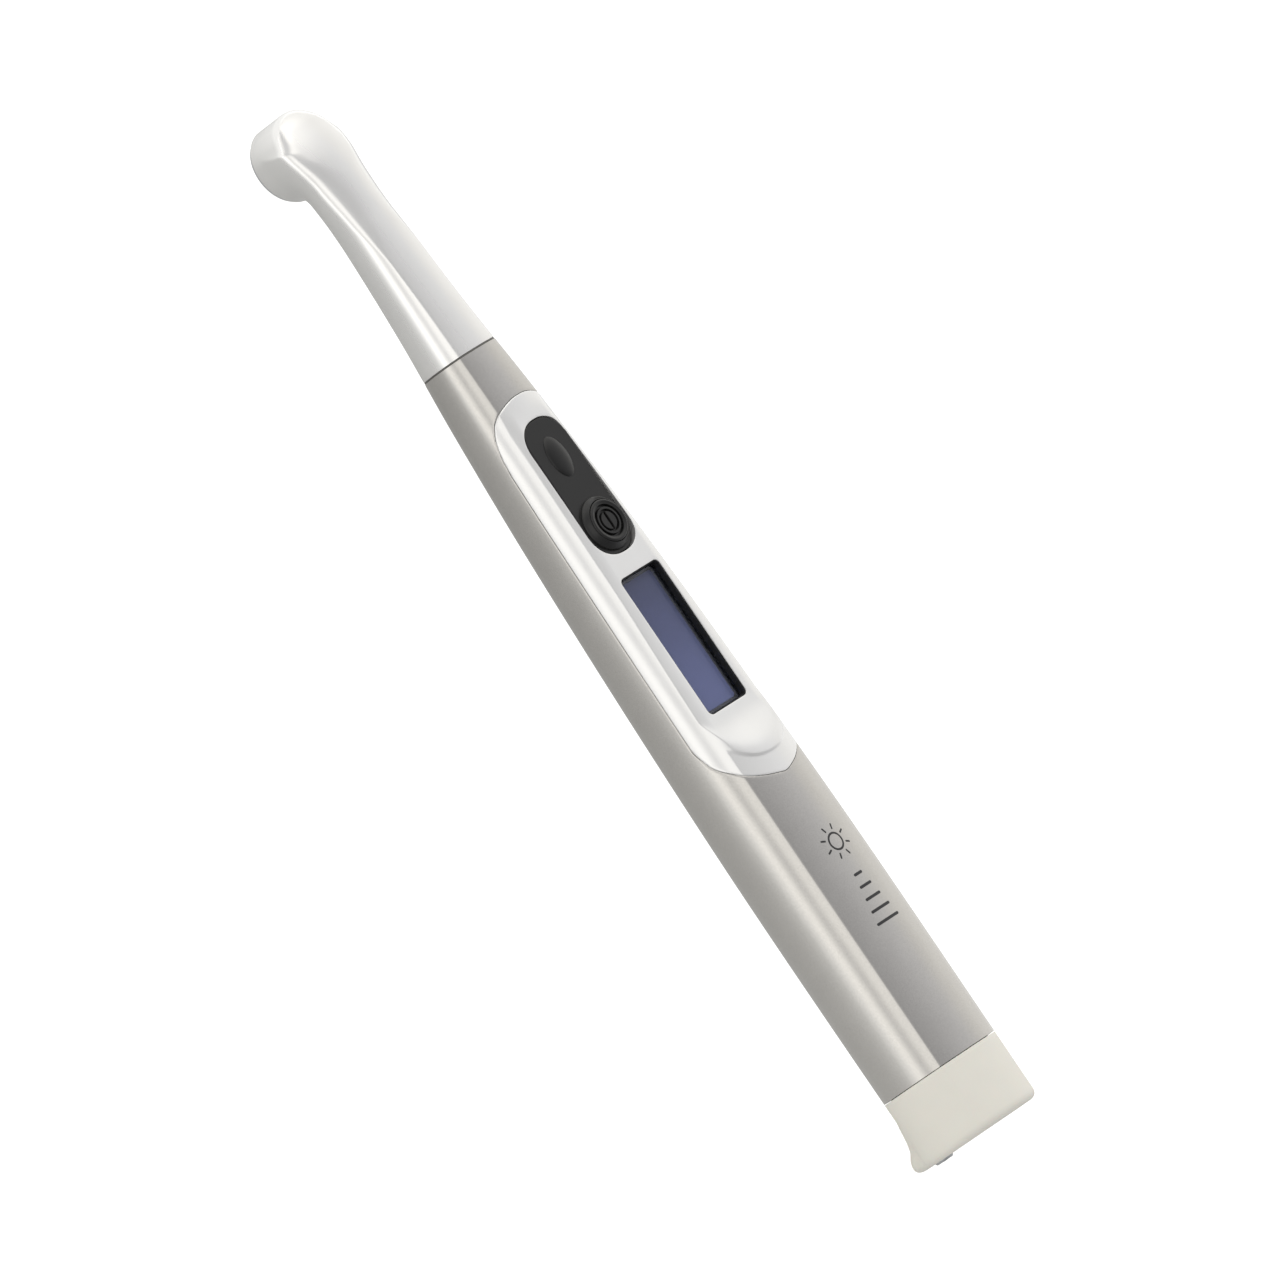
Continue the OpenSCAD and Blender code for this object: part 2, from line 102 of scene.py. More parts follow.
# open joint round the fascia, and the small bevel on the edges of the shells
GAP = 0.1
CHAMFER = 0.09
# level deck round the display, and the top of the rubber mat
DECK_Z = 8.1
PAD_TOP = 7.45
# U-shaped raised lip behind the display: its rear end, the foot of its ramp, height, half width, squareness
LIP_Y = 83.85
LIP_FOOT_Y = 96
LIP_H = 0.36
LIP_W = 9.9
LIP_POWER = 2.3
# sloping edge of the deck, and the slope in front of the keypad
SHOULDER_W = 2.3
FRONT_Y = 160.8
FRONT_L = 6.4
# how far round from straight up the fascia reaches
SEAM_ANGLE = 72.6

# ---- Curves that give the body its form ----

# (y, radius) of the round side
RADIUS = [(0, 12.777), (60, 12.777), (100, 12.03), (140, 10.6), (168, 9.0), (190, 7.32), (213.5, 6.41),
          (225.5, 6.66)]
# angle of the crease between the round side and the crowned top, from straight up
CREASE = [(0, 44.6), (60, 44.5), (100, 44), (168, 42.6), (190, 44.4), (209, 52.3), (213.5, 53.5), (225, 54)]
# height of the fascia's deck along its middle, and where it meets the side
DECK = [(95, DECK_Z), (137, DECK_Z), (158, 7.72), (161.5, 7.6)]
SHOULDER = [(90, 7.55), (103, 7.55), (123, 7.62), (133, 7.45), (143, 7.25), (153, 7.0), (161.5, 6.65),
            (168, 6.45)]
# (distance round the skin from the top, y) of the fascia's rear and front seam
REAR_SEAM = [(0, 78.65), (3, 79.2), (6, 80.1), (8.9, 81.5), (11.7, 83.9), (14, 86.6), (15.6, 89.5)]
FORE_SEAM = [(0, 167.4), (2, 167.35), (4.5, 166.9), (6.8, 166.1), (8.85, 164.8), (9.85, 163.5),
             (10.95, 161.5), (11.9, 158.5), (12.4, 156)]
# (y, z) of the head's back and of the cap's heel
BACK = [(213.5, 4.75), (218, 4.62), (222, 4.35), (226, 3.8), (230, 2.95), (234, 1.75), (237.9, 0.35)]
HEEL = [(-2, -15.16), (1.0, -15.2), (2.2, -15.1), (3.2, -14.7), (4.5, -13.6), (6.25, -12.8), (7.9, -12.2),
        (10, -11.4), (13.5, -9.5)]


def curve(stations, y):
    """Smooth curve through (y, value) stations, level at both ends"""
    ys = np.array([s[0] for s in stations], float)
    vs = np.array([s[1] for s in stations], float)
    m = np.zeros(len(ys))
    m[1:-1] = (vs[2:] - vs[:-2]) / (ys[2:] - ys[:-2])
    y = np.asarray(y, float)
    i = np.clip(np.searchsorted(ys, y) - 1, 0, len(ys) - 2)
    h = ys[i + 1] - ys[i]
    u = np.clip((y - ys[i]) / h, 0, 1)
    return (
        (2 * u**3 - 3 * u**2 + 1) * vs[i]
        + (u**3 - 2 * u**2 + u) * h * m[i]
        + (3 * u**2 - 2 * u**3) * vs[i + 1]
        + (u**3 - u**2) * h * m[i + 1]
    )


def ease(u):
    """0 below 0, 1 above 1, with a smooth rise between"""
    u = np.clip(u, 0, 1)
    return u * u * (3 - 2 * u)


def smax(a, b, k):
    """Larger of a and b, with the crease between them rounded over a width k"""
    h = np.maximum(k - np.abs(a - b), 0) / k
    return np.maximum(a, b) + h * h * k / 4


def smin(a, b, k):
    """Smaller of a and b, with the corner between them filled over a width k"""
    return -smax(-a, -b, k)


def body_r(y):
    """Radius of the round side"""
    return curve(RADIUS, y)


def crown_circle(y):
    """Radius of the crowned top's arc and the depth of its centre below the axis"""
    r = body_r(y)
    edge = np.radians(curve(CREASE, y))
    fall = np.radians(24 - 2 * ease((y - 60) / 100))
    rho = r * np.sin(edge) / np.sin(fall)
    return rho, rho * np.cos(fall) - r * np.cos(edge)


def crown_top(x, y):
    """Height of the crowned top over the point (x, y)"""
    rho, depth = crown_circle(y)
    return np.sqrt(np.maximum(rho * rho - x * x, 1)) - depth


def body_form(x, y, z, inset=0.0):
    """The round body with its crowned top: negative inside"""
    rho, depth = crown_circle(y)
    side = np.hypot(x, z) - body_r(y)
    top = np.hypot(x, z + depth) - rho
    return smax(side, top, 0.15) + inset


def lip_side(x, y):
    """0 at the deck, 1 on the crest line of the U-shaped lip, above 1 outside it"""
    across = np.abs(x) / LIP_W
    along = np.maximum(LIP_FOOT_Y - y, 0) / (LIP_FOOT_Y - LIP_Y)
    return (across**LIP_POWER + along**LIP_POWER) ** (1 / LIP_POWER)


def fascia_top(x, y):
    """Height of the fascia's top: crown, raised lip, ramp, level deck and front slope"""
    crown = crown_top(x, y)
    level = curve(DECK, y)
    low = curve(SHOULDER, y)
    inland = np.sqrt(body_r(y) ** 2 - low**2) - np.abs(x)
    level = level - (level - low) * np.clip(1 - inland / SHOULDER_W, 0, 1.2) ** 1.6
    deck = level + (crown - level) * ease((y - FRONT_Y) / FRONT_L)
    across = np.minimum(np.abs(x) / LIP_W, 1)
    crest_y = LIP_FOOT_Y - (LIP_FOOT_Y - LIP_Y) * np.maximum(1 - across**LIP_POWER, 0) ** (1 / LIP_POWER)
    ramp_y = LIP_FOOT_Y - 0.4
    progress = np.clip((ramp_y - y) / np.maximum(ramp_y - crest_y, 0.4), 0, 1)
    ramp = deck + (crown + LIP_H - deck) * ease(progress) ** 1.15
    outside = (lip_side(x, y) - 1) * 11
    step = crown + LIP_H * (1 - ease(outside / 0.75))
    return np.where(lip_side(x, y) < 1, ramp, step)


def fascia_form(x, y, z, inset=0.0):
    """The body with the fascia's own top: negative inside"""
    side = np.hypot(x, z) - body_r(y) - 0.03
    top = (z - fascia_top(x, y)) * 0.93
    return smax(side, top, 0.1) + inset


def seam_side(phi, y):
    """Distance over the skin to the seam round the fascia: negative on the fascia"""
    r = body_r(y)
    arc = np.abs(phi) * r
    rear = (curve(REAR_SEAM, arc) - y) * 0.75
    fore = (y - curve(FORE_SEAM, arc)) * 0.8
    side = arc - np.radians(SEAM_ANGLE) * r
    return smax(smax(rear, side, 2.0), fore, 1.0)


def slot_side(x, y, width, y0, y1, power=2.3):
    """Signed measure of a slot with round ends: negative inside"""
    r = width / 2
    over = np.maximum(np.maximum(y0 + r - y, y - (y1 - r)), 0)
    return ((np.abs(x) ** power + over**power) ** (1 / power)) - r


def rect_side(x, y, width, length, y_mid, r):
    """Signed measure of a rectangle with round corners: negative inside"""
    dx = np.abs(x) - width / 2 + r
    dy = np.abs(y - y_mid) - length / 2 + r
    return np.hypot(np.maximum(dx, 0), np.maximum(dy, 0)) + np.minimum(np.maximum(dx, dy), 0) - r


# ---- Mesh tools ----


def steps(*runs):
    """Rising numbers from (start, end, step) runs that follow one another"""
    out = []
    for start, end, step in runs:
        out += list(np.linspace(start, end, max(2, int(round((end - start) / step)) + 1))[:-1])
    return np.array(out + [runs[-1][1]])


def both_ways(half):
    """The rising angles from -180 to 180 degrees that mirror those of one half"""
    return np.concatenate([-half[:0:-1], half])


def full_turn(half):
    """The same without the last angle, which closes on the first"""
    return both_ways(half)[:-1]


def build(name, points, faces, material, smooth=True):
    """A mesh object from points in millimetres, with doubles merged"""
    mesh = bpy.data.meshes.new(name)
    mesh.from_pydata((np.asarray(points, float) * MM).tolist(), [], [list(map(int, f)) for f in faces])
    mesh.validate()
    obj = bpy.data.objects.new(name, mesh)
    bpy.context.scene.collection.objects.link(obj)
    bm = bmesh.new()
    bm.from_mesh(mesh)
    bmesh.ops.remove_doubles(bm, verts=bm.verts, dist=2e-7)
    bmesh.ops.recalc_face_normals(bm, faces=bm.faces)
    bm.to_mesh(mesh)
    bm.free()
    for polygon in mesh.polygons:
        polygon.use_smooth = smooth
    mesh.materials.append(material)
    return obj


def keep_sharp(obj, degrees=40):
    """Edges sharper than the angle stay crisp in the shading"""
    obj.data.set_sharp_from_angle(angle=math.radians(degrees))
    return obj


def along_rays(form, phi, y, reach=16.0):
    """Distance from the axis to the skin of form, along the direction phi from +Z"""
    s, c = np.sin(phi), np.cos(phi)
    near, far = np.zeros_like(phi), np.full_like(phi, reach)
    for _ in range(34):
        mid = (near + far) / 2
        inside = form(mid * s, y, mid * c) < 0
        near, far = np.where(inside, mid, near), np.where(inside, far, mid)
    return (near + far) / 2


def way_out(form, centre, directions, reach, inset=0.0):
    """Points where rays from the centre leave the form"""
    near, far = np.zeros(len(directions)), np.full(len(directions), reach)
    for _ in range(32):
        mid = (near + far) / 2
        p = centre + directions * mid[:, None]
        inside = form(p[:, 0], p[:, 1], p[:, 2]) + inset < 0
        near, far = np.where(inside, mid, near), np.where(inside, far, mid)
    return centre + directions * near[:, None]


def cut_grid(us, vs, side):
    """A grid over us x vs cut to where side(u, v) <= 0. Grid points near the outline move onto it.
    Returns the points' u, v, the faces, and the mask of points on the outline."""
    u, v = [a.astype(float) for a in np.meshgrid(us, vs, indexing="ij")]
    g = side(u, v)
    best = np.full(u.shape, np.inf)
    new_u, new_v = u.copy(), v.copy()
    for axis in (0, 1):
        a = [slice(None), slice(None)]
        b = [slice(None), slice(None)]
        a[axis], b[axis] = slice(None, -1), slice(1, None)
        a, b = tuple(a), tuple(b)
        low, high = np.zeros(g[a].shape), np.ones(g[a].shape)
        cross = (g[a] < 0) != (g[b] < 0)
        start_in = g[a] < 0
        for _ in range(18):
            t = (low + high) / 2
            inside = side(u[a] + t * (u[b] - u[a]), v[a] + t * (v[b] - v[a])) < 0
            same = inside == start_in
            low, high = np.where(same, t, low), np.where(same, high, t)
        t = (low + high) / 2
        cu, cv = u[a] + t * (u[b] - u[a]), v[a] + t * (v[b] - v[a])
        for part, dist in ((a, t), (b, 1 - t)):
            take = cross & (dist <= 0.5) & (dist < best[part])
            best[part] = np.where(take, dist, best[part])
            new_u[part] = np.where(take, cu, new_u[part])
            new_v[part] = np.where(take, cv, new_v[part])
    on = np.isfinite(best)
    sign = np.where(on, 0, np.where(g < 0, -1, 1))
    index = np.arange(u.size).reshape(u.shape)
    quads = np.stack([index[:-1, :-1], index[1:, :-1], index[1:, 1:], index[:-1, 1:]], -1).reshape(-1, 4)
    s = sign.reshape(-1)[quads]
    faces = [q for q in quads[(s <= 0).all(1) & (s < 0).any(1)]]
    mixed = quads[(s < 0).any(1) & (s > 0).any(1)]
    for q in mixed:
        faces.append([i for i in q if sign.reshape(-1)[i] <= 0])
    faces = [f for f in faces if len(f) > 2]
    return new_u.reshape(-1), new_v.reshape(-1), faces, on.reshape(-1)


def border_edges(faces):
    """Directed edges that only one face uses"""
    edges = {}
    for f in faces:
        for i in range(len(f)):
            a, b = int(f[i]), int(f[(i + 1) % len(f)])
            edges[(a, b)] = edges.get((a, b), 0) + 1
    return [e for e in edges if (e[1], e[0]) not in edges]


def thicken(outer, inner, faces):
    """A closed shell from an outer and an inner skin that share their faces"""
    n = len(outer)
    back = [[int(i) + n for i in reversed(f)] for f in faces]
    rim = [[b, a, a + n, b + n] for a, b in border_edges(faces)]
    return np.concatenate([outer, inner]), [list(map(int, f)) for f in faces] + back + rim


def polar(phi, y, r):
    """Points at a distance r from the axis, phi round from +Z"""
    return np.stack([r * np.sin(phi), y, r * np.cos(phi)], -1)


def tube_faces(rings, turns, closed=False):
    """Faces between rings of points; a closed tube also joins its last ring to its first"""
    faces = []
    for i in range(rings if closed else rings - 1):
        k = (i + 1) % rings
        for j in range(turns):
            m = (j + 1) % turns
            faces.append([i * turns + j, i * turns + m, k * turns + m, k * turns + j])
    return faces


def lathe(name, profile, material, turns=96, centre=(0, 0, 0), axis="Z"):
    """A closed profile of (radius, height) points turned about the axis"""
    angles = np.linspace(0, 2 * math.pi, turns, endpoint=False)
    points, faces = [], []
    count = len(profile)
    for a in angles:
        for r, h in profile:
            c, s = r * math.cos(a), r * math.sin(a)
            p = (c, s, h) if axis == "Z" else (c, h, -s)
            points.append([p[k] + centre[k] for k in range(3)])
    for i in range(turns):
        j = (i + 1) % turns
        for k in range(count):
            m = (k + 1) % count
            faces.append([i * count + k, j * count + k, j * count + m, i * count + m])
    return build(name, points, faces, material)


def rounded(points, radius=0.15, steps=3):
    """The closed outline with each corner cut round; a radius per point may be given as a third value"""
    out = []
    pts = [np.array(p[:2], float) for p in points]
    for i, p in enumerate(pts):
        r = points[i][2] if len(points[i]) > 2 else radius
        a, b = pts[i - 1], pts[(i + 1) % len(pts)]
        da, db = a - p, b - p
        la, lb = np.linalg.norm(da), np.linalg.norm(db)
        d = min(r, 0.45 * la, 0.45 * lb)
        if d < 1e-3:
            out.append(tuple(p))
            continue
        p0, p1 = p + da / la * d, p + db / lb * d
        for k in range(steps + 1):
            t = k / steps
            out.append(tuple((1 - t) ** 2 * p0 + 2 * t * (1 - t) * p + t * t * p1))
    return out


# ---- Materials ----


def finish_of(name, colour, rough=0.5, metal=0.0, coat=0.0, mottle=0.05, mottle_mm=5.0, grain=0.1,
              grain_mm=0.2, tone=0.03, flake=0.0, ior=1.45, subsurface=0.0, painted_light_fade=None):
    """A procedural finish: broad changes of roughness and tone, fine grain in the surface, optional flakes,
    and an optional painted light change (y0, y1, from, to) of the tone along the body: painted shade at one
    end, painted light at the other"""
    material = bpy.data.materials.new(name)
    material.use_nodes = True
    nodes, links = material.node_tree.nodes, material.node_tree.links
    bsdf = nodes["Principled BSDF"]
    coords = nodes.new("ShaderNodeTexCoord")

    def noise(size_mm, detail):
        node = nodes.new("ShaderNodeTexNoise")
        node.inputs["Scale"].default_value = 1000 / size_mm
        node.inputs["Detail"].default_value = detail
        links.new(coords.outputs["Object"], node.inputs["Vector"])
        return node.outputs["Fac"]

    def remap(source, low, high):
        node = nodes.new("ShaderNodeMapRange")
        node.inputs["From Min"].default_value = 0.25
        node.inputs["From Max"].default_value = 0.75
        node.inputs["To Min"].default_value = low
        node.inputs["To Max"].default_value = high
        links.new(source, node.inputs["Value"])
        return node.outputs["Result"]

    broad, fine = noise(mottle_mm, 3), noise(grain_mm, 2)
    scale = nodes.new("ShaderNodeVectorMath")
    scale.operation = "SCALE"
    scale.inputs[0].default_value = colour
    shade = remap(broad, 1 - tone, 1 + tone)
    if flake:
        cells = nodes.new("ShaderNodeTexVoronoi")
        cells.inputs["Scale"].default_value = 1000 / 0.14
        links.new(coords.outputs["Object"], cells.inputs["Vector"])
        spark = nodes.new("ShaderNodeMapRange")
        spark.inputs["To Min"].default_value = 1 - flake
        spark.inputs["To Max"].default_value = 1 + flake
        links.new(cells.outputs["Color"], spark.inputs["Value"])
        both = nodes.new("ShaderNodeMath")
        both.operation = "MULTIPLY"
        links.new(shade, both.inputs[0])
        links.new(spark.outputs["Result"], both.inputs[1])
        shade = both.outputs["Value"]
    # painted shade and light: the tone is scaled from one value to another along the body's length
    if painted_light_fade:
        length = nodes.new("ShaderNodeSeparateXYZ")
        links.new(coords.outputs["Object"], length.inputs["Vector"])
        slope = nodes.new("ShaderNodeMapRange")
        limits = (painted_light_fade[0] * MM, painted_light_fade[1] * MM, painted_light_fade[2], painted_light_fade[3])
        for socket, value in zip(("From Min", "From Max", "To Min", "To Max"), limits):
            slope.inputs[socket].default_value = value
        links.new(length.outputs["Y"], slope.inputs["Value"])
        painted_light_tone = nodes.new("ShaderNodeMath")
        painted_light_tone.operation = "MULTIPLY"
        links.new(shade, painted_light_tone.inputs[0])
        links.new(slope.outputs["Result"], painted_light_tone.inputs[1])
        shade = painted_light_tone.outputs["Value"]
    links.new(shade, scale.inputs["Scale"])
    links.new(scale.outputs["Vector"], bsdf.inputs["Base Color"])
    links.new(remap(broad, max(rough - mottle, 0.02), min(rough + mottle, 1)), bsdf.inputs["Roughness"])
    bump = nodes.new("ShaderNodeBump")
    bump.inputs["Strength"].default_value = grain
    bump.inputs["Distance"].default_value = 0.01 * MM
    links.new(fine, bump.inputs["Height"])
    links.new(bump.outputs["Normal"], bsdf.inputs["Normal"])
    settings = {"Metallic": metal, "Coat Weight": coat, "Coat Roughness": 0.08, "IOR": ior,
                "Subsurface Weight": subsurface, "Subsurface Scale": 0.6 * MM}
    for socket, value in settings.items():
        bsdf.inputs[socket].default_value = value
    return material


def clear_of(name, colour, rough=0.03, body=0.92):
    """A clear pane: light passes straight through its tint, and its surface shines at a shallow angle"""
    material = bpy.data.materials.new(name)
    material.use_nodes = True
    nodes, links = material.node_tree.nodes, material.node_tree.links
    nodes.remove(nodes["Principled BSDF"])
    through = nodes.new("ShaderNodeBsdfTransparent")
    through.inputs["Color"].default_value = [c * body for c in colour] + [1]
    gloss = nodes.new("ShaderNodeBsdfGlossy")
    coords = nodes.new("ShaderNodeTexCoord")
    smear = nodes.new("ShaderNodeTexNoise")
    smear.inputs["Scale"].default_value = 1000 / 4.0
    links.new(coords.outputs["Object"], smear.inputs["Vector"])
    rub = nodes.new("ShaderNodeMapRange")
    rub.inputs["To Min"].default_value = rough * 0.5
    rub.inputs["To Max"].default_value = rough * 1.8
    links.new(smear.outputs["Fac"], rub.inputs["Value"])
    links.new(rub.outputs["Result"], gloss.inputs["Roughness"])
    slant = nodes.new("ShaderNodeLayerWeight")
    slant.inputs["Blend"].default_value = 0.5
    steep = nodes.new("ShaderNodeMath")
    steep.operation = "POWER"
    steep.inputs[1].default_value = 5
    links.new(slant.outputs["Facing"], steep.inputs[0])
    share = nodes.new("ShaderNodeMath")
    share.operation = "MULTIPLY_ADD"
    share.inputs[1].default_value = 0.9
    share.inputs[2].default_value = 0.04
    links.new(steep.outputs["Value"], share.inputs[0])
    mix = nodes.new("ShaderNodeMixShader")
    links.new(share.outputs["Value"], mix.inputs["Fac"])
    links.new(through.outputs["BSDF"], mix.inputs[1])
    links.new(gloss.outputs["BSDF"], mix.inputs[2])
    links.new(mix.outputs["Shader"], nodes["Material Output"].inputs["Surface"])
    return material


LOOKS = {
    "silver_paint": dict(colour=(0.585, 0.57, 0.545), rough=0.24, metal=1.0, flake=0.06, tone=0.015,
                         mottle=0.015, grain=0.06, grain_mm=0.3),
    "pearl_shell": dict(colour=(0.88, 0.875, 0.862), rough=0.22, metal=0.74, tone=0.01, mottle=0.02,
                        grain=0.02, grain_mm=4),
    "fascia_paint": dict(colour=(0.88, 0.878, 0.87), rough=0.21, metal=0.52, tone=0.01, mottle=0.02,
                         grain=0.02, grain_mm=4),
    "cream_plastic": dict(colour=(0.86, 0.838, 0.76), rough=0.55, tone=0.012, mottle=0.05, grain=0.35,
                          grain_mm=0.25, subsurface=0.05),
    "key_rubber": dict(colour=(0.011, 0.011, 0.011), rough=0.31, tone=0.08, grain=0.25, grain_mm=0.2,
                       mottle=0.05),
    "black_plastic": dict(colour=(0.012, 0.0125, 0.014), rough=0.55, tone=0.1, grain=0.04, ior=1.35),
    "lcd_glass": dict(colour=(0.115, 0.13, 0.22), rough=0.22, tone=0.06, mottle=0.03, mottle_mm=9,
                      grain=0.02, coat=0.4),
    # the screen's tone carries painted shade at its tip end and painted light at its cap end
    "lcd_screen": dict(colour=(0.175, 0.2, 0.375), rough=0.35, tone=0.04, mottle=0.03, mottle_mm=9,
                       grain=0.02, ior=1.12, painted_light_fade=(LCD_PAINTED_SHADE_Y, LCD_PAINTED_LIGHT_Y, 0.62, 1.45)),
    "lcd_border": dict(colour=(0.075, 0.08, 0.095), rough=0.3, tone=0.08, grain=0.03),
    "white_plastic": dict(colour=(0.8, 0.8, 0.78), rough=0.45, tone=0.02, grain=0.15),
    "zebra_rubber": dict(colour=(0.1, 0.16, 0.3), rough=0.7, tone=0.3, mottle_mm=0.4, grain=0.2),
    "circuit_board": dict(colour=(0.02, 0.13, 0.05), rough=0.3, tone=0.25, mottle_mm=1.6, grain=0.25),
    "ceramic": dict(colour=(0.4, 0.27, 0.14), rough=0.55, tone=0.08, grain=0.3, grain_mm=0.1),
    "bare_metal": dict(colour=(0.7, 0.71, 0.73), rough=0.3, metal=1, tone=0.03, grain=0.3, grain_mm=0.1),
    "grey_plastic": dict(colour=(0.05, 0.054, 0.06), rough=0.5, tone=0.08, grain=0.3),
    "contact_gold": dict(colour=(0.86, 0.62, 0.24), rough=0.2, metal=1, tone=0.04, grain=0.12),
    "charge_metal": dict(colour=(0.5, 0.51, 0.52), rough=0.3, metal=0.6, tone=0.03, grain=0.15),
    "polished_ring": dict(colour=(0.66, 0.67, 0.69), rough=0.05, metal=1, tone=0.02, mottle=0.02,
                          grain=0.03),
    "seal_rubber": dict(colour=(0.02, 0.02, 0.02), rough=0.5, tone=0.1, grain=0.3),
    "joint_rubber": dict(colour=(0.13, 0.125, 0.115), rough=0.5, tone=0.1, grain=0.2),
    "emitter": dict(colour=(0.85, 0.55, 0.06), rough=0.5, tone=0.1, mottle_mm=0.6, grain=0.2,
                    grain_mm=0.1),
    "copper": dict(colour=(0.78, 0.34, 0.2), rough=0.3, metal=1, tone=0.06, grain=0.25),
    "wire_jacket": dict(colour=(0.4, 0.02, 0.02), rough=0.4, tone=0.05, grain=0.1),
    "cell_wrap": dict(colour=(0.03, 0.12, 0.36), rough=0.25, tone=0.05, grain=0.12, grain_mm=0.6,
                      coat=0.3),
    "print_ink": dict(colour=(0.03, 0.03, 0.032), rough=0.45, tone=0.05, grain=0.1),
}
FINISH = {name: finish_of(name, **look) for name, look in LOOKS.items()}
FINISH["clear_window"] = clear_of("clear_window", (0.93, 0.94, 0.97))
FINISH["optic_glass"] = clear_of("optic_glass", (0.9, 0.95, 1.0))


def add(obj, body=ROOT, swaps=()):
    """The piece rides the body and stands for the CAD nodes it swaps, which are hidden"""
    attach(obj, body)
    if swaps:
        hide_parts(*swaps)
    return obj


for part in frame["record"]["subparts"]:
    shown = frame["nodes"][part["node"]]
    shown.data.materials.clear()
    shown.data.materials.append(FINISH[part["material_slot"]])


# ---- Housing and fascia ----

half_turn = np.radians(steps((0, 36, 3), (36, 60, 0.8), (60, 70, 1.25), (70, 76, 0.6), (76, 180, 3)))
housing_y = steps((HOUSING_Y0, 16, 0.35), (16, 76, 2), (76, 98, 0.25), (98, 155, 0.6), (155, 168.5, 0.25),
                  (168.5, HOUSING_Y1 - 0.4, 0.6), (HOUSING_Y1 - 0.4, HOUSING_Y1, 0.2))
phi, y, faces, on = cut_grid(both_ways(half_turn), housing_y, lambda a, b: GAP / 2 - seam_side(a, b))
r = along_rays(body_form, phi, y)
at_end = np.maximum(HOUSING_Y0 + 0.12 - y, y - HOUSING_Y1 + 0.12).clip(0) / 0.12
drop = np.where(on, CHAMFER, 0) + 0.1 * CHAMFER * at_end
points, faces = thicken(polar(phi, y, r - drop), polar(phi, y, r - WALL), faces)
housing = build("housing_shell", points, faces, FINISH["silver_paint"])
keep_sharp(housing, 50)
add(housing, ROOT, ["main_housing"])


def fascia_side(phi, y):
    """Negative on the fascia, outside its seam and its two openings positive"""
    x = np.tan(np.clip(phi, -1.2, 1.2)) * np.where(y > 128, PAD_TOP, DECK_Z)
    pad = slot_side(x, y, PAD_W, PAD_Y0, PAD_Y1)
    window = rect_side(x, y, WINDOW_W, WINDOW_L, WINDOW_Y, 1.2)
    return np.maximum(seam_side(phi, y) + GAP / 2, np.maximum(-pad, -window))


half_fascia = np.radians(steps((0, 36, 0.9), (36, 56, 0.55), (56, 75, 0.8)))
fascia_y = steps((78, 98, 0.2), (98, 128, 0.4), (128, 164, 0.3), (164, 168, 0.2))
phi, y, faces, on = cut_grid(both_ways(half_fascia), fascia_y, fascia_side)
r = along_rays(fascia_form, phi, y)
skin = polar(phi, y, r - np.where(on, CHAMFER, 0))
lean = ease((np.degrees(np.abs(phi)) - 44) / 12)[:, None]
inwards = lean * polar(phi, 0 * y, 1) + (1 - lean) * np.array([0, 0, 1.0])
points, faces = thicken(skin, skin - 1.3 * inwards, faces)
fascia = build("fascia_shell", points, faces, FINISH["fascia_paint"])
keep_sharp(fascia, 50)
add(fascia, ROOT, ["control_fascia"])


# ---- Neck and head, one shell that bends from the body's axis to the lens axis ----

BEND_Y = 213.0


def neck_form(x, y, z):
    """Neck, flared sideways into the upright head, under a crowned top that falls to the tip"""
    flare = 1 + 0.13 * ease((y - 208) / 17)
    neck = np.maximum(np.hypot(x / flare, z) - body_r(y), y - LENS_Y)
    head = np.hypot(x, y - LENS_Y) - HEAD_R
    around = smin(neck, head, 3.4)
    crown = crown_top(x, np.minimum(y, 213.5))
    back = curve(BACK, y) - x * x / (2 * (13.6 + 4 * ease((y - 219) / 8)))
    top = z - (crown + (back - crown) * ease((y - 209) / 6))
    return smax(around, top * 0.97, 0.15 + 2.2 * ease((y - 201) / 18))


def elbow_rings(y0, y1, low_z, straight, bend):
    """Centres and in-plane directions of rings: straight along +Y, then turning down to look along -Z"""
    rings = []
    for yy in np.linspace(y0, y1, straight):
        rings.append((np.array([0, yy, 0.0]), np.array([0, 0, 1.0])))
    for i in range(1, bend + 1):
        a = i / bend * math.pi / 2
        reach = -low_z + (LENS_Y - y1 + low_z) * ease(i / bend)
        out = np.array([0, math.sin(a), math.cos(a)])
        rings.append((np.array([0, y1, low_z]) + out * reach, out))
    return rings


def skin_of(form, rings, turns, inset=0.0):
    """Points where rays leave the form, ring by ring"""
    out = []
    for centre, up_dir in rings:
        side_dir = np.array([1.0, 0, 0])
        d = np.outer(np.sin(turns), side_dir) + np.outer(np.cos(turns), up_dir)
        out.append(way_out(form, centre, d, 26.0, inset))
    return np.array(out)


def shell_of(name, outer, inner, material):
    """A closed shell between two stacks of rings"""
    count, turns = outer.shape[:2]
    faces = tube_faces(count, turns)
    points, faces = thicken(outer.reshape(-1, 3), inner.reshape(-1, 3), faces)
    return build(name, points, faces, material)


half_ring = np.radians(steps((0, 38, 2.2), (38, 66, 1.0), (66, 150, 2.4), (150, 180, 2)))
turns = full_turn(half_ring)
rings = elbow_rings(NECK_Y0, BEND_Y, SHELL_LOW, 44, 96)
outer = skin_of(neck_form, rings, turns)
inner = skin_of(neck_form, rings, turns, NECK_WALL)
inwards = rings[0][0] - outer[0]
outer[0] += inwards * (0.5 * CHAMFER / np.linalg.norm(inwards, axis=1))[:, None]
neck = shell_of("neck_and_head", outer, inner, FINISH["pearl_shell"])
keep_sharp(neck, 50)
add(neck, ROOT, ["neck_shell"])

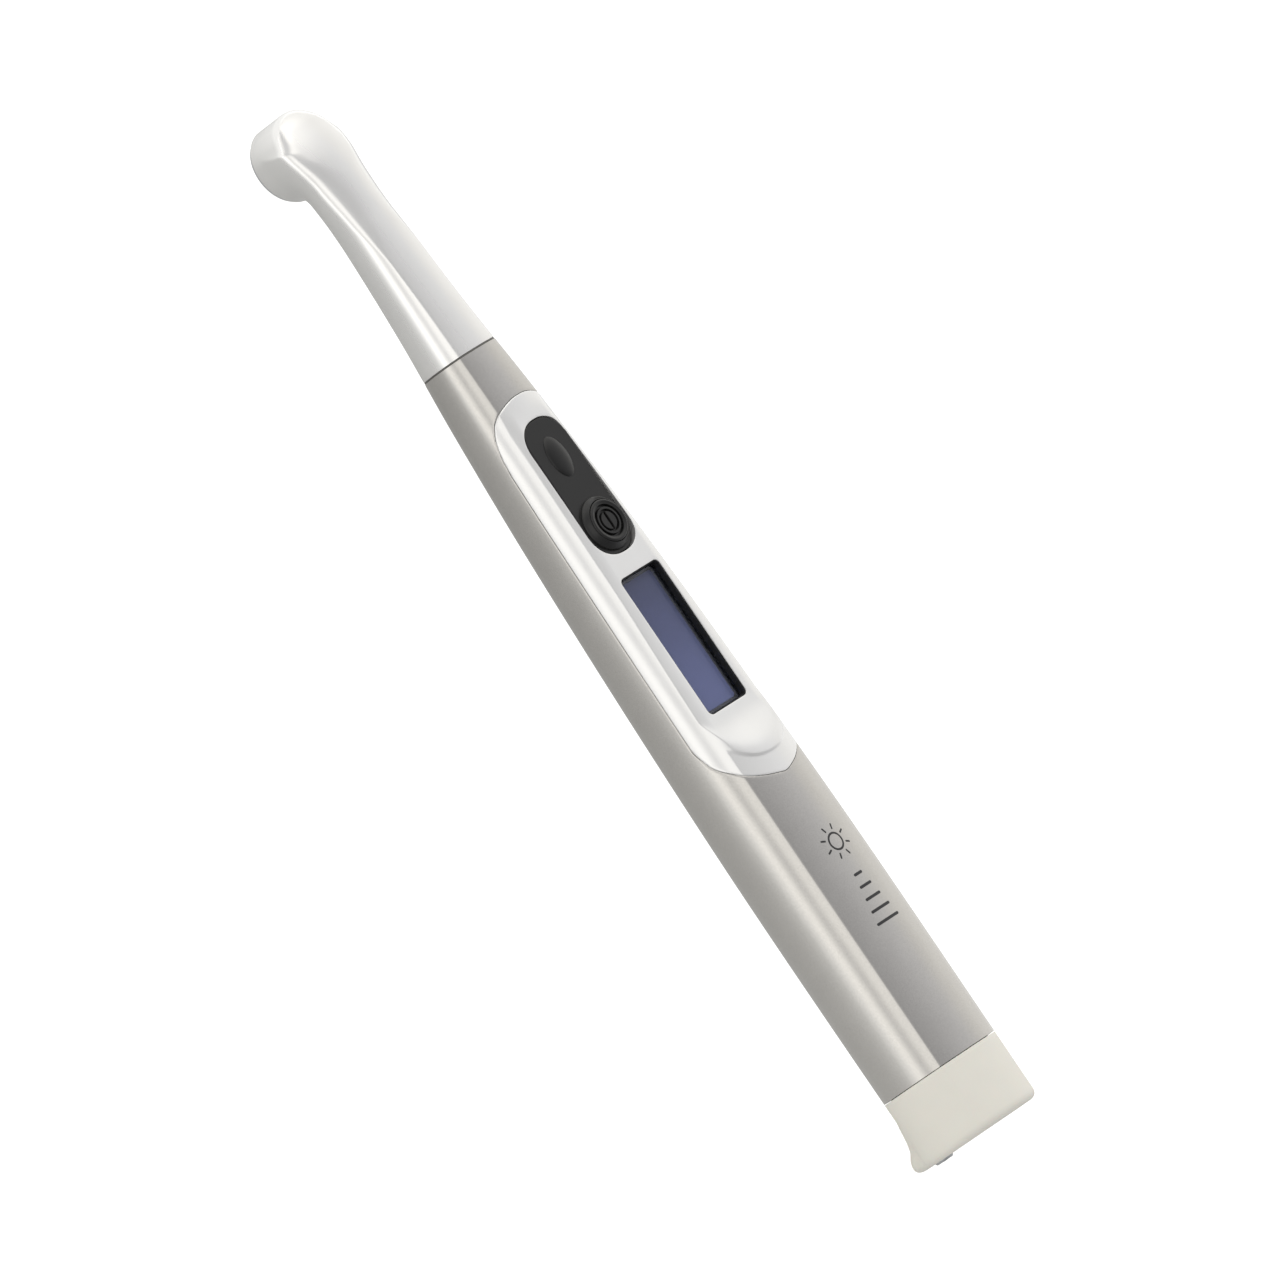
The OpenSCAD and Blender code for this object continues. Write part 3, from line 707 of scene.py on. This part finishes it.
# the thin gasket in the joint between neck and housing
gasket_y = (HOUSING_Y1 + NECK_Y0) / 2
ring_angle = np.radians(np.arange(-180, 180, 2.5))
GASKET_HALF = 0.19
gasket_rings = []
for dy, inset in ((-GASKET_HALF, 0.75), (-GASKET_HALF, 0.16), (-0.1, 0.1), (0.1, 0.1), (GASKET_HALF, 0.16),
                  (GASKET_HALF, 0.75)):
    yy = np.full(len(ring_angle), gasket_y + dy)
    gasket_rings.append(polar(ring_angle, yy, along_rays(body_form, ring_angle, yy) - inset))
gasket_rings = np.array(gasket_rings)
faces = tube_faces(*gasket_rings.shape[:2], closed=True)
gasket = build("joint_gasket", gasket_rings.reshape(-1, 3), faces, FINISH["joint_rubber"])
add(gasket, ROOT, ["neck_gasket"])

# polished ring round the lens, with a stepped lip
ring = lathe("polished_lens_ring", rounded([
    (6.25, SHELL_LOW - 0.02), (6.25, RING_LOW + 0.28, 0.1), (6.5, RING_LOW, 0.12), (7.2, RING_LOW, 0.25),
    (RING_R, RING_LOW + 0.3, 0.25), (RING_R, SHELL_LOW - 0.26, 0.06),
    (RING_R - 0.5, SHELL_LOW - 0.24, 0.05), (RING_R - 0.5, SHELL_LOW - 0.02)
]), FINISH["polished_ring"], 144, (0, LENS_Y, 0))
keep_sharp(ring, 35)
add(ring, ROOT, ["lens_ring"])

lens_low, lens_high = span("front_lens")[0][2], span("front_lens")[1][2]
lens_r = (span("front_lens")[1][0] - span("front_lens")[0][0]) / 2
lens = lathe("front_lens_glass", [(0.02, lens_high), (lens_r, lens_high), (lens_r, lens_low + 0.2),
                                  (lens_r - 0.2, lens_low + 0.04)]
             + [(r, lens_low + 0.03) for r in np.linspace(lens_r - 0.6, 0.02, 8)],
             FINISH["optic_glass"], 96, (0, LENS_Y, 0))
keep_sharp(lens, 35)
add(lens, ROOT, ["front_lens"])


# ---- End cap with its heel ----

CAP_BACK_Y = span("end_cap")[1][1]
SEAL_Y0, SEAL_Y1 = span("seal_ring")[0][1], span("seal_ring")[1][1]
SLEEVE_Z = (span("battery_sleeve")[0][2] + span("battery_sleeve")[1][2]) / 2
SLEEVE_R = (span("battery_sleeve")[1][2] - span("battery_sleeve")[0][2]) / 2


def cap_form(x, y, z):
    """The body's outline with a heel that flares out below it, all edges of the end face rounded"""
    body = body_form(x, np.clip(y, 0, 60), z)
    low = curve(HEEL, y)
    half_width = 7.5 + 0.35 * ease((5 - y) / 5)
    floor_side = smax(np.abs(x) - half_width, low - z, 3.2)
    heel = np.maximum(floor_side, z + 6)
    around = smin(body, heel, 1.6 * (1 - ease((y - 9) / 5)) + 0.02)
    flute = np.exp(-((np.abs(x) - half_width + 0.7) / 0.45) ** 2)
    dent = 0.22 * flute * ease((5.2 - y) / 3) * ease((-z - 10.2) / 1.5)
    return smax(around + dent, -y, 1.9)


cap_half = np.radians(steps((0, 38, 2.6), (38, 62, 1.2), (62, 120, 2.6), (120, 165, 0.75), (165, 180, 1.5)))
cap_turns = full_turn(cap_half)
n = len(cap_turns)
FAN_Y = 7.5
rows = []
fan_centre = np.array([0, FAN_Y, -1.5])
for lean in np.radians(steps((0.4, 20, 1.6), (20, 62, 0.8), (62, 90, 1.2))):
    # lean 0 looks along -Y and 90 degrees sideways
    d = polar(cap_turns, np.full(n, -math.cos(lean)), math.sin(lean))
    rows.append(way_out(cap_form, fan_centre, d, 24.0))
angle = np.arctan2(rows[-1][:, 0], rows[-1][:, 2])
for yy in steps((FAN_Y + 0.6, CAP_END_Y - 0.05, 0.7), (CAP_END_Y - 0.05, CAP_END_Y, 0.05)):
    ys = np.full(n, yy)
    r = along_rays(cap_form, angle, ys, 24)
    rows.append(polar(angle, ys, r - (0.1 * CHAMFER if yy >= CAP_END_Y - 1e-6 else 0)))


def spigot_row(y, inset):
    """A ring of points inside the body's outline, where the cap goes into the housing"""
    ys = np.full(n, y)
    return polar(angle, ys, along_rays(body_form, angle, ys) - inset)


SPIGOT = WALL + 0.12
GROOVE = SPIGOT + 0.55
for y, inset in ((CAP_END_Y, 0.6), (CAP_END_Y, SPIGOT), (CAP_END_Y + 0.05, SPIGOT),
                 (SEAL_Y0 - 0.1, SPIGOT), (SEAL_Y0 - 0.05, SPIGOT + 0.05), (SEAL_Y0 - 0.05, GROOVE),
                 (SEAL_Y1 + 0.05, GROOVE), (SEAL_Y1 + 0.05, SPIGOT + 0.05), (SEAL_Y1 + 0.1, SPIGOT),
                 (CAP_BACK_Y - 0.3, SPIGOT), (CAP_BACK_Y, SPIGOT + 0.3)):
    rows.append(spigot_row(y, inset))
BORE_Y = 12.0
for y, bore in ((CAP_BACK_Y, SLEEVE_R + 0.02), (BORE_Y, SLEEVE_R + 0.02), (BORE_Y, 0.01)):
    rows.append(polar(angle, np.full(n, y), bore) + [0, 0, SLEEVE_Z])
rows = np.array(rows)
rows[..., 1] = np.maximum(rows[..., 1], CAP_FACE_Y + 0.003)
faces = tube_faces(len(rows), n) + [list(range(n))[::-1], [(len(rows) - 1) * n + j for j in range(n)]]
cap = build("end_cap_shell", rows.reshape(-1, 3), faces, FINISH["cream_plastic"])
keep_sharp(cap, 42)
add(cap, "battery_pack", ["end_cap"])

# the charging stud in the heel: pin, insulating collar and outer ring
PIN_END = span("charge_pin")[0][1]
INSULATOR_END = span("charge_insulator")[0][1]
STUD_END = span("charge_ring")[0][1]
stud = lathe("charge_ring_stud", rounded([
    (1.32, 3.0), (1.32, STUD_END + 0.12, 0.08), (1.46, STUD_END, 0.1), (1.75, STUD_END, 0.1),
    (2.0, STUD_END + 0.25, 0.2), (2.0, 3.0)
], 0.05), FINISH["charge_metal"], 72, (0, 0, STUD_Z), "Y")
keep_sharp(stud, 35)
add(stud, "battery_pack", ["charge_ring"])
insulator = lathe("charge_collar", rounded([
    (0.82, 3.0), (0.82, INSULATOR_END + 0.06), (0.9, INSULATOR_END), (1.22, INSULATOR_END),
    (1.3, INSULATOR_END + 0.06), (1.3, 3.0)
], 0.03), FINISH["black_plastic"], 60, (0, 0, STUD_Z), "Y")
add(insulator, "battery_pack", ["charge_insulator"])
pin = lathe("charge_pin_tip", rounded([
    (0.01, 3.0), (0.01, PIN_END), (0.45, PIN_END, 0.1), (0.8, PIN_END + 0.3, 0.2), (0.8, 3.0)
], 0.03), FINISH["charge_metal"], 48, (0, 0, STUD_Z), "Y")
keep_sharp(pin, 40)
add(pin, "battery_pack", ["charge_pin"])


# ---- Keypad ----


def edge_round(distance, radius):
    """Drop of a rounded edge at a distance from its outline"""
    t = np.clip(1 - distance / radius, 0, 1)
    return radius * (1 - np.sqrt(1 - t * t))


def sheet_of(name, xs, ys, side, top, thickness, material):
    """A sheet cut to side(x, y) <= 0 whose upper skin is top(x, y)"""
    x, y, faces, on = cut_grid(xs, ys, side)
    upper = np.stack([x, y, top(x, y)], -1)
    lower = np.stack([x, y, top(x, y) - thickness], -1)
    points, faces = thicken(upper, lower, faces)
    return build(name, points, faces, material)


SKIRT_R = 5.72


def mat_edge(x, y):
    """Signed measure of the mat's outline"""
    return slot_side(x, y, PAD_W - 0.22, PAD_Y0 + 0.11, PAD_Y1 - 0.11)


def mat_side(x, y):
    """The mat without the round hole for the power key's skirt"""
    return np.maximum(mat_edge(x, y), SKIRT_R - np.hypot(x, y - POWER_Y))


mat = sheet_of("keypad_mat_skin", steps((-6.3, 6.3, 0.15)), steps((PAD_Y0, PAD_Y1, 0.15)), mat_side,
               lambda x, y: PAD_TOP - edge_round(-mat_edge(x, y), 0.3), 0.9, FINISH["key_rubber"])
keep_sharp(mat, 50)
add(mat, ROOT, ["keypad_mat"])

KEY_LOW, KEY_TOP = span("power_key")[0][2], span("power_key")[1][2]
KEY_R = 4.5
# radius, width and depth of the key's ring grooves, and half length, half width and depth of its bar
RING_GROOVES = ((3.15, 0.5, 0.7), (2.15, 0.42, 0.6))
BAR_L, BAR_W, BAR_DEPTH = 1.5, 0.3, 0.6


def dip(distance, width):
    """A groove of unit depth with soft walls"""
    return 1 - ease((np.abs(distance) - width / 2 + 0.07) / 0.14)


def key_height(x, y):
    """Top of the power key: a shallow dish with two ring grooves and a bar"""
    r = np.hypot(x, y)
    z = KEY_TOP - edge_round(KEY_R - r, 0.42) - 0.2 * ease((KEY_R - 0.35 - r) / 0.7)
    for radius, width, depth in RING_GROOVES:
        z = z - depth * dip(r - radius, width)
    bar = np.hypot(x, np.maximum(np.abs(y) - BAR_L, 0)) - BAR_W
    return z - BAR_DEPTH * (1 - ease((bar + 0.07) / 0.14))


radii = np.concatenate([[0.03], steps((0.12, 4.1, 0.07), (4.1, KEY_R, 0.045))])
turn_count = 200
angle = np.linspace(0, 2 * math.pi, turn_count, endpoint=False)
cos, sin = np.cos(angle), np.sin(angle)
rows = [np.stack([r * cos, r * sin, key_height(r * cos, r * sin)], -1) for r in radii]
for r, z in ((4.52, KEY_TOP - 0.55), (4.56, KEY_TOP - 0.8), (4.3, KEY_TOP - 0.9), (4.1, KEY_TOP - 1.2),
             (4.0, KEY_LOW + 0.3), (3.8, KEY_LOW), (0.03, KEY_LOW)):
    rows.append(np.stack([r * cos, r * sin, np.full(turn_count, z)], -1))
rows = np.array(rows) + [0, POWER_Y, 0]
faces = tube_faces(len(rows), turn_count)
faces += [list(range(turn_count))[::-1], [(len(rows) - 1) * turn_count + j for j in range(turn_count)]]
power_cap = build("power_key_cap", rows.reshape(-1, 3), faces, FINISH["key_rubber"])
keep_sharp(power_cap, 60)
add(power_cap, "power_button", ["power_key"])

skirt = lathe("power_key_skirt", rounded([
    (6.0, 6.75), (6.0, 7.34, 0.03), (SKIRT_R + 0.04, PAD_TOP + 0.01, 0.1), (SKIRT_R - 0.06, 7.98, 0.26),
    (5.35, 8.22, 0.4), (4.98, 8.62, 0.3), (4.72, 8.98, 0.12), (4.6, 9.0, 0.05), (4.6, 8.75, 0.05),
    (4.8, 8.4, 0.2), (5.1, 8.0, 0.2), (5.25, 6.75)
], 0.1, 5), FINISH["key_rubber"], 160, (0, POWER_Y, 0))
keep_sharp(skirt, 60)
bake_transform(skirt)

MODE_L, MODE_W = 9.0, 5.4
MODE_TOP = span("mode_key")[1][2]


def dome_height(u, v):
    """The mode key's pillow: u runs along it and v across it, both from -1 to 1"""
    return (MODE_TOP - PAD_TOP) * (1 - u * u) ** 0.7 * (1 - v * v) ** 0.65


u, v = np.meshgrid(*[np.sin(np.linspace(-math.pi / 2, math.pi / 2, count)) for count in (73, 49)],
                   indexing="ij")
x = v * (MODE_W / 2 * np.maximum(1 - u * u, 0) ** 0.52 + 0.02)
y = MODE_Y + u * MODE_L / 2
upper = np.stack([x, y, PAD_TOP + 0.015 + dome_height(u, v)], -1).reshape(-1, 3)
lower = np.stack([x, y, np.full_like(u, PAD_TOP + 0.01)], -1).reshape(-1, 3)
index = np.arange(u.size).reshape(u.shape)
quads = np.stack([index[:-1, :-1], index[1:, :-1], index[1:, 1:], index[:-1, 1:]], -1).reshape(-1, 4)
points, faces = thicken(upper, lower, quads)
dome = build("mode_key_dome", points, faces, FINISH["key_rubber"])
keep_sharp(dome, 70)
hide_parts("mode_key")
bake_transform(dome)

# ---- Display ----


def rect_outline(w, l, r, inset, corner=8):
    """Points round a rectangle with round corners, drawn in by inset"""
    w, l, r = w - 2 * inset, l - 2 * inset, max(r - inset, 0.15)
    out = []
    for sx, sy, start in ((1, 1, 0), (-1, 1, 90), (-1, -1, 180), (1, -1, 270)):
        for k in range(corner + 1):
            a = math.radians(start + 90 * k / corner)
            out.append((sx * (w / 2 - r) + r * math.cos(a), sy * (l / 2 - r) + r * math.sin(a)))
    return out


def rect_stack(name, w, l, r, y_mid, profile, material, closed):
    """Rectangles with round corners, stacked by (inset, height). A closed stack is a ring, an open one has
    a face at each end."""
    rows = [[(x, y + y_mid, z) for x, y in rect_outline(w, l, r, inset)] for inset, z in profile]
    n, count = len(rows[0]), len(rows)
    faces = tube_faces(count, n, closed)
    if not closed:
        faces += [list(range(n))[::-1], [(count - 1) * n + j for j in range(n)]]
    obj = build(name, [p for row in rows for p in row], faces, material)
    return keep_sharp(obj, 35)


LCD_LOW = span("lcd_module")[0][2]
PANE_TOP = span("display_window")[1][2]
BEZEL_TOP = span("display_bezel")[1][2]
bezel = rect_stack("display_bezel_frame", WINDOW_W - 0.06, WINDOW_L - 0.06, 1.17, WINDOW_Y, rounded([
    (0, LCD_TOP), (0, BEZEL_TOP - 0.02, 0.1), (0.26, BEZEL_TOP - 0.05, 0.1), (0.32, PANE_TOP + 0.1),
    (0.32, LCD_TOP)
], 0.06), FINISH["black_plastic"], True)
add(bezel, ROOT, ["display_bezel"])
LCD_W, LCD_L = WINDOW_W - 0.74, WINDOW_L - 0.74
border = rect_stack("lcd_border_frame", LCD_W, LCD_L, 0.85, WINDOW_Y, rounded([
    (0, LCD_TOP - 0.4), (0, LCD_TOP - 0.02), (0.5, LCD_TOP - 0.02, 0.03), (0.62, LCD_TOP - 0.09, 0.03),
    (0.62, LCD_TOP - 0.4)
], 0.02), FINISH["lcd_border"], True)
add(border, ROOT)
screen = rect_stack("lcd_screen", LCD_W - 1.28, LCD_L - 1.28, 0.7, WINDOW_Y, [
    (0, LCD_LOW), (0, LCD_TOP - 0.18), (0.08, LCD_TOP - 0.12)
], FINISH["lcd_screen"], False)
add(screen, ROOT, ["lcd_module"])
pane = rect_stack("display_pane", LCD_W - 0.02, LCD_L - 0.02, 0.84, WINDOW_Y, [
    (0, LCD_TOP + 0.02), (0, PANE_TOP - 0.08), (0.08, PANE_TOP)
], FINISH["clear_window"], False)
add(pane, ROOT, ["display_window"])

# ---- A plain printed pictogram in place of the printed names: a lamp with a scale of bars ----

PRINT_Y = 62.0
INK = 0.006
LAMP_R = 1.75
RAY_R = 3.15
RAYS = 8
BARS = 5


def print_of(name, xs, ys, side):
    """A thin sheet of ink on the crowned top"""
    obj = sheet_of(name, xs, ys, side, lambda x, y: crown_top(x, y) + INK, 0.06, FINISH["print_ink"])
    return add(obj, ROOT)


def stroke(cx, cy, angle, half_length, half_width):
    """Signed measure of a straight stroke with round ends: negative inside"""
    def side(x, y):
        along = (x - cx) * math.cos(angle) + (y - cy) * math.sin(angle)
        aside = (y - cy) * math.cos(angle) - (x - cx) * math.sin(angle)
        return np.hypot(np.maximum(np.abs(along) - half_length, 0), aside) - half_width
    return side


print_of("print_lamp_ring", steps((-2.4, 2.4, 0.12)), steps((PRINT_Y - 2.4, PRINT_Y + 2.4, 0.12)),
         lambda x, y: np.abs(np.hypot(x, y - PRINT_Y) - LAMP_R) - 0.22)
for i in range(RAYS):
    a = math.radians(360 / RAYS * i + 22.5)
    cx, cy = RAY_R * math.cos(a), PRINT_Y + RAY_R * math.sin(a)
    print_of(f"print_lamp_ray_{i}", steps((cx - 0.9, cx + 0.9, 0.09)), steps((cy - 0.9, cy + 0.9, 0.09)),
             stroke(cx, cy, a, 0.45, 0.2))
for i in range(BARS):
    cy = PRINT_Y - 7.5 - 2.6 * i
    print_of(f"print_scale_bar_{i}", steps((-4.2, 4.2, 0.12)), steps((cy - 0.6, cy + 0.6, 0.09)),
             stroke(0, cy, 0, 1.0 + 0.55 * i, 0.3))


# ---- Floor, light and camera ----


def node_chain(tree):
    """Short helpers that add math nodes to a node tree"""
    nodes, links = tree.nodes, tree.links

    def math_node(operation, *values, clamp=False):
        node = nodes.new("ShaderNodeMath")
        node.operation = operation
        node.use_clamp = clamp
        for i, value in enumerate(values):
            if isinstance(value, (int, float)):
                node.inputs[i].default_value = value
            else:
                links.new(value, node.inputs[i])
        return node.outputs["Value"]

    def mix(factor, a, b):
        node = nodes.new("ShaderNodeMix")
        node.data_type = "RGBA"
        for socket, value in ((node.inputs[0], factor), (node.inputs[6], a), (node.inputs[7], b)):
            if isinstance(value, (int, float, tuple)):
                socket.default_value = value
            else:
                links.new(value, socket)
        return node.outputs[2]

    return math_node, mix


def ramp_node(tree, factor, stops):
    """A straight ramp between (place, colour) stops"""
    node = tree.nodes.new("ShaderNodeValToRGB")
    tree.links.new(factor, node.inputs["Fac"])
    node.color_ramp.interpolation = "LINEAR"
    elements = node.color_ramp.elements
    while len(elements) < len(stops):
        elements.new(0.5)
    for element, (place, colour) in zip(elements, stops):
        element.position = place
        element.color = (*colour, 1)
    return node.outputs["Color"]


# The studio is bands of light that run along the body's length. An angle is measured round
# the length from straight up, negative towards the camera's side; the value is brightness.
BANDS = [(-180, 0.9), (-100, 1.0), (-91, 1.5), (-80, 1.52), (-74, 0.97), (-69, 0.74), (-64, 0.84),
         (-59, 1.3), (-43, 1.3), (-37, 0.62), (-28, 0.5), (0, 0.5), (10, 0.54), (20, 0.61), (30, 0.67),
         (47, 0.77), (60, 0.87), (75, 1.0), (95, 1.0), (180, 0.9)]
TIP_END = [(-180, 0.9), (-110, 1.1), (-78, 1.0), (-64, 0.6), (-38, 0.6), (-18, 1.3), (20, 1.45),
           (45, 1.3), (68, 1.05), (110, 1.0), (180, 0.9)]
CAP_END = [(-180, 0.3), (-90, 0.42), (-47, 0.34), (0, 0.3), (90, 0.6), (180, 0.3)]
BRIGHTEST = 1.7
WARM = (1.0, 0.985, 0.955)
COOL = (0.985, 0.985, 1.0)

world = bpy.data.worlds.new("studio")
bpy.context.scene.world = world
world.use_nodes = True
tree = world.node_tree
value_of, mixed = node_chain(tree)
direction = tree.nodes.new("ShaderNodeTexCoord")
axes = tree.nodes.new("ShaderNodeSeparateXYZ")
tree.links.new(direction.outputs["Generated"], axes.inputs["Vector"])
turn = value_of("ARCTAN2", axes.outputs["X"], axes.outputs["Z"])
place = value_of("ADD", value_of("DIVIDE", turn, 2 * math.pi), 0.5)
to_tip = value_of("MULTIPLY", value_of("SUBTRACT", axes.outputs["Y"], 0.3), 3.3, clamp=True)
to_cap = value_of("MULTIPLY", value_of("SUBTRACT", -0.22, axes.outputs["Y"]), 3.0, clamp=True)


def banded(bands):
    """The colours of bands of light, as a share of the brightest that a ramp has to hold"""
    stops = [((a + 180) / 360, [v / BRIGHTEST * c for c in (WARM if v > 0.8 else COOL)]) for a, v in bands]
    return ramp_node(tree, place, stops)


light = mixed(to_tip, banded(BANDS), banded(TIP_END))
light = mixed(to_cap, light, banded(CAP_END))
seen = tree.nodes.new("ShaderNodeLightPath")
background = tree.nodes["Background"]
tree.links.new(mixed(seen.outputs["Is Camera Ray"], light, (1, 1, 1, 1)), background.inputs["Color"])
background.inputs["Strength"].default_value = BRIGHTEST

floor_paint = bpy.data.materials.new("floor_paint")
floor_paint.use_nodes = True
floor_tree = floor_paint.node_tree
value_of, mixed = node_chain(floor_tree)
bsdf = floor_tree.nodes["Principled BSDF"]
bsdf.inputs["Base Color"].default_value = (0.3, 0.3, 0.295, 1)
bsdf.inputs["Roughness"].default_value = 0.9
bsdf.inputs["Emission Color"].default_value = (1, 1, 0.99, 1)
# the floor is a light table that reads white to the camera; its glow carries a painted shadow of the part:
# lower close to the part and under its neck, higher away to the side, towards the cap end and past the tip
spot = floor_tree.nodes.new("ShaderNodeTexCoord")
spot_axes = floor_tree.nodes.new("ShaderNodeSeparateXYZ")
floor_tree.links.new(spot.outputs["Object"], spot_axes.inputs["Vector"])
off_axis = value_of("SUBTRACT", value_of("ABSOLUTE", spot_axes.outputs["X"]), 0.03)
aside = value_of("MULTIPLY", off_axis, 8, clamp=True)
under_body = value_of("MULTIPLY", value_of("SUBTRACT", 0.2, spot_axes.outputs["Y"]), 6, clamp=True)
past_tip = value_of("MULTIPLY", value_of("SUBTRACT", spot_axes.outputs["Y"], 0.235), 50, clamp=True)
# painted shadow: the glow is lowest close under the part
glow_with_painted_shadow = value_of("MULTIPLY_ADD", aside, 0.45, value_of("MULTIPLY_ADD", under_body, 0.14, 0.26))
glow_with_painted_shadow = value_of("MULTIPLY_ADD", past_tip, 0.5, glow_with_painted_shadow)
seen = floor_tree.nodes.new("ShaderNodeLightPath")
glow_with_painted_shadow = value_of("MULTIPLY_ADD", seen.outputs["Is Camera Ray"], 0.75, glow_with_painted_shadow)
floor_tree.links.new(glow_with_painted_shadow, bsdf.inputs["Emission Strength"])

FLOOR_HALF = 3000
FLOOR_Z = HEEL_LOW - 0.02
corners = [(sx * FLOOR_HALF, sy * FLOOR_HALF, FLOOR_Z) for sx, sy in ((-1, -1), (1, -1), (1, 1), (-1, 1))]
floor = build("floor", corners, [(0, 1, 2, 3)], floor_paint, smooth=False)

# a soft overhead lamp from the far side that shows only in matt surfaces
lamp = bpy.data.objects.new("overhead_lamp", bpy.data.lights.new("overhead_lamp", "SUN"))
lamp.data.energy = 0.45
lamp.data.angle = math.radians(60)
lamp.rotation_euler = Vector((0.5, 0.15, 0.8)).to_track_quat("Z", "Y").to_euler()
lamp.visible_glossy = False
bpy.context.scene.collection.objects.link(lamp)

# the camera looks down on the key side from the left, rolled so that the body runs slantwise up the picture
TOWARDS = Vector((-0.731, -0.035, 0.682)).normalized()
AIM = Vector((-0.97, 115.3, -1.04)) * MM
ROLL_COS, ROLL_SIN = 0.8273, 0.5617
DISTANCE = 3.8
VIEW_WIDTH = 0.24615
SENSOR = 36
along = (Vector((0, 1, 0)) - TOWARDS * TOWARDS.y).normalized()
across = along.cross(TOWARDS).normalized()
up = ROLL_COS * along + ROLL_SIN * across
right = -ROLL_SIN * along + ROLL_COS * across
camera = bpy.data.objects.new("camera", bpy.data.cameras.new("camera"))
bpy.context.scene.collection.objects.link(camera)
camera.matrix_world = Matrix((right, up, TOWARDS)).transposed().to_4x4()
camera.location = AIM + TOWARDS * DISTANCE
camera.data.sensor_width = SENSOR
camera.data.lens = SENSOR * DISTANCE / VIEW_WIDTH
camera.data.clip_end = 50
bpy.context.scene.camera = camera
bpy.context.scene.view_settings.view_transform = "Standard"
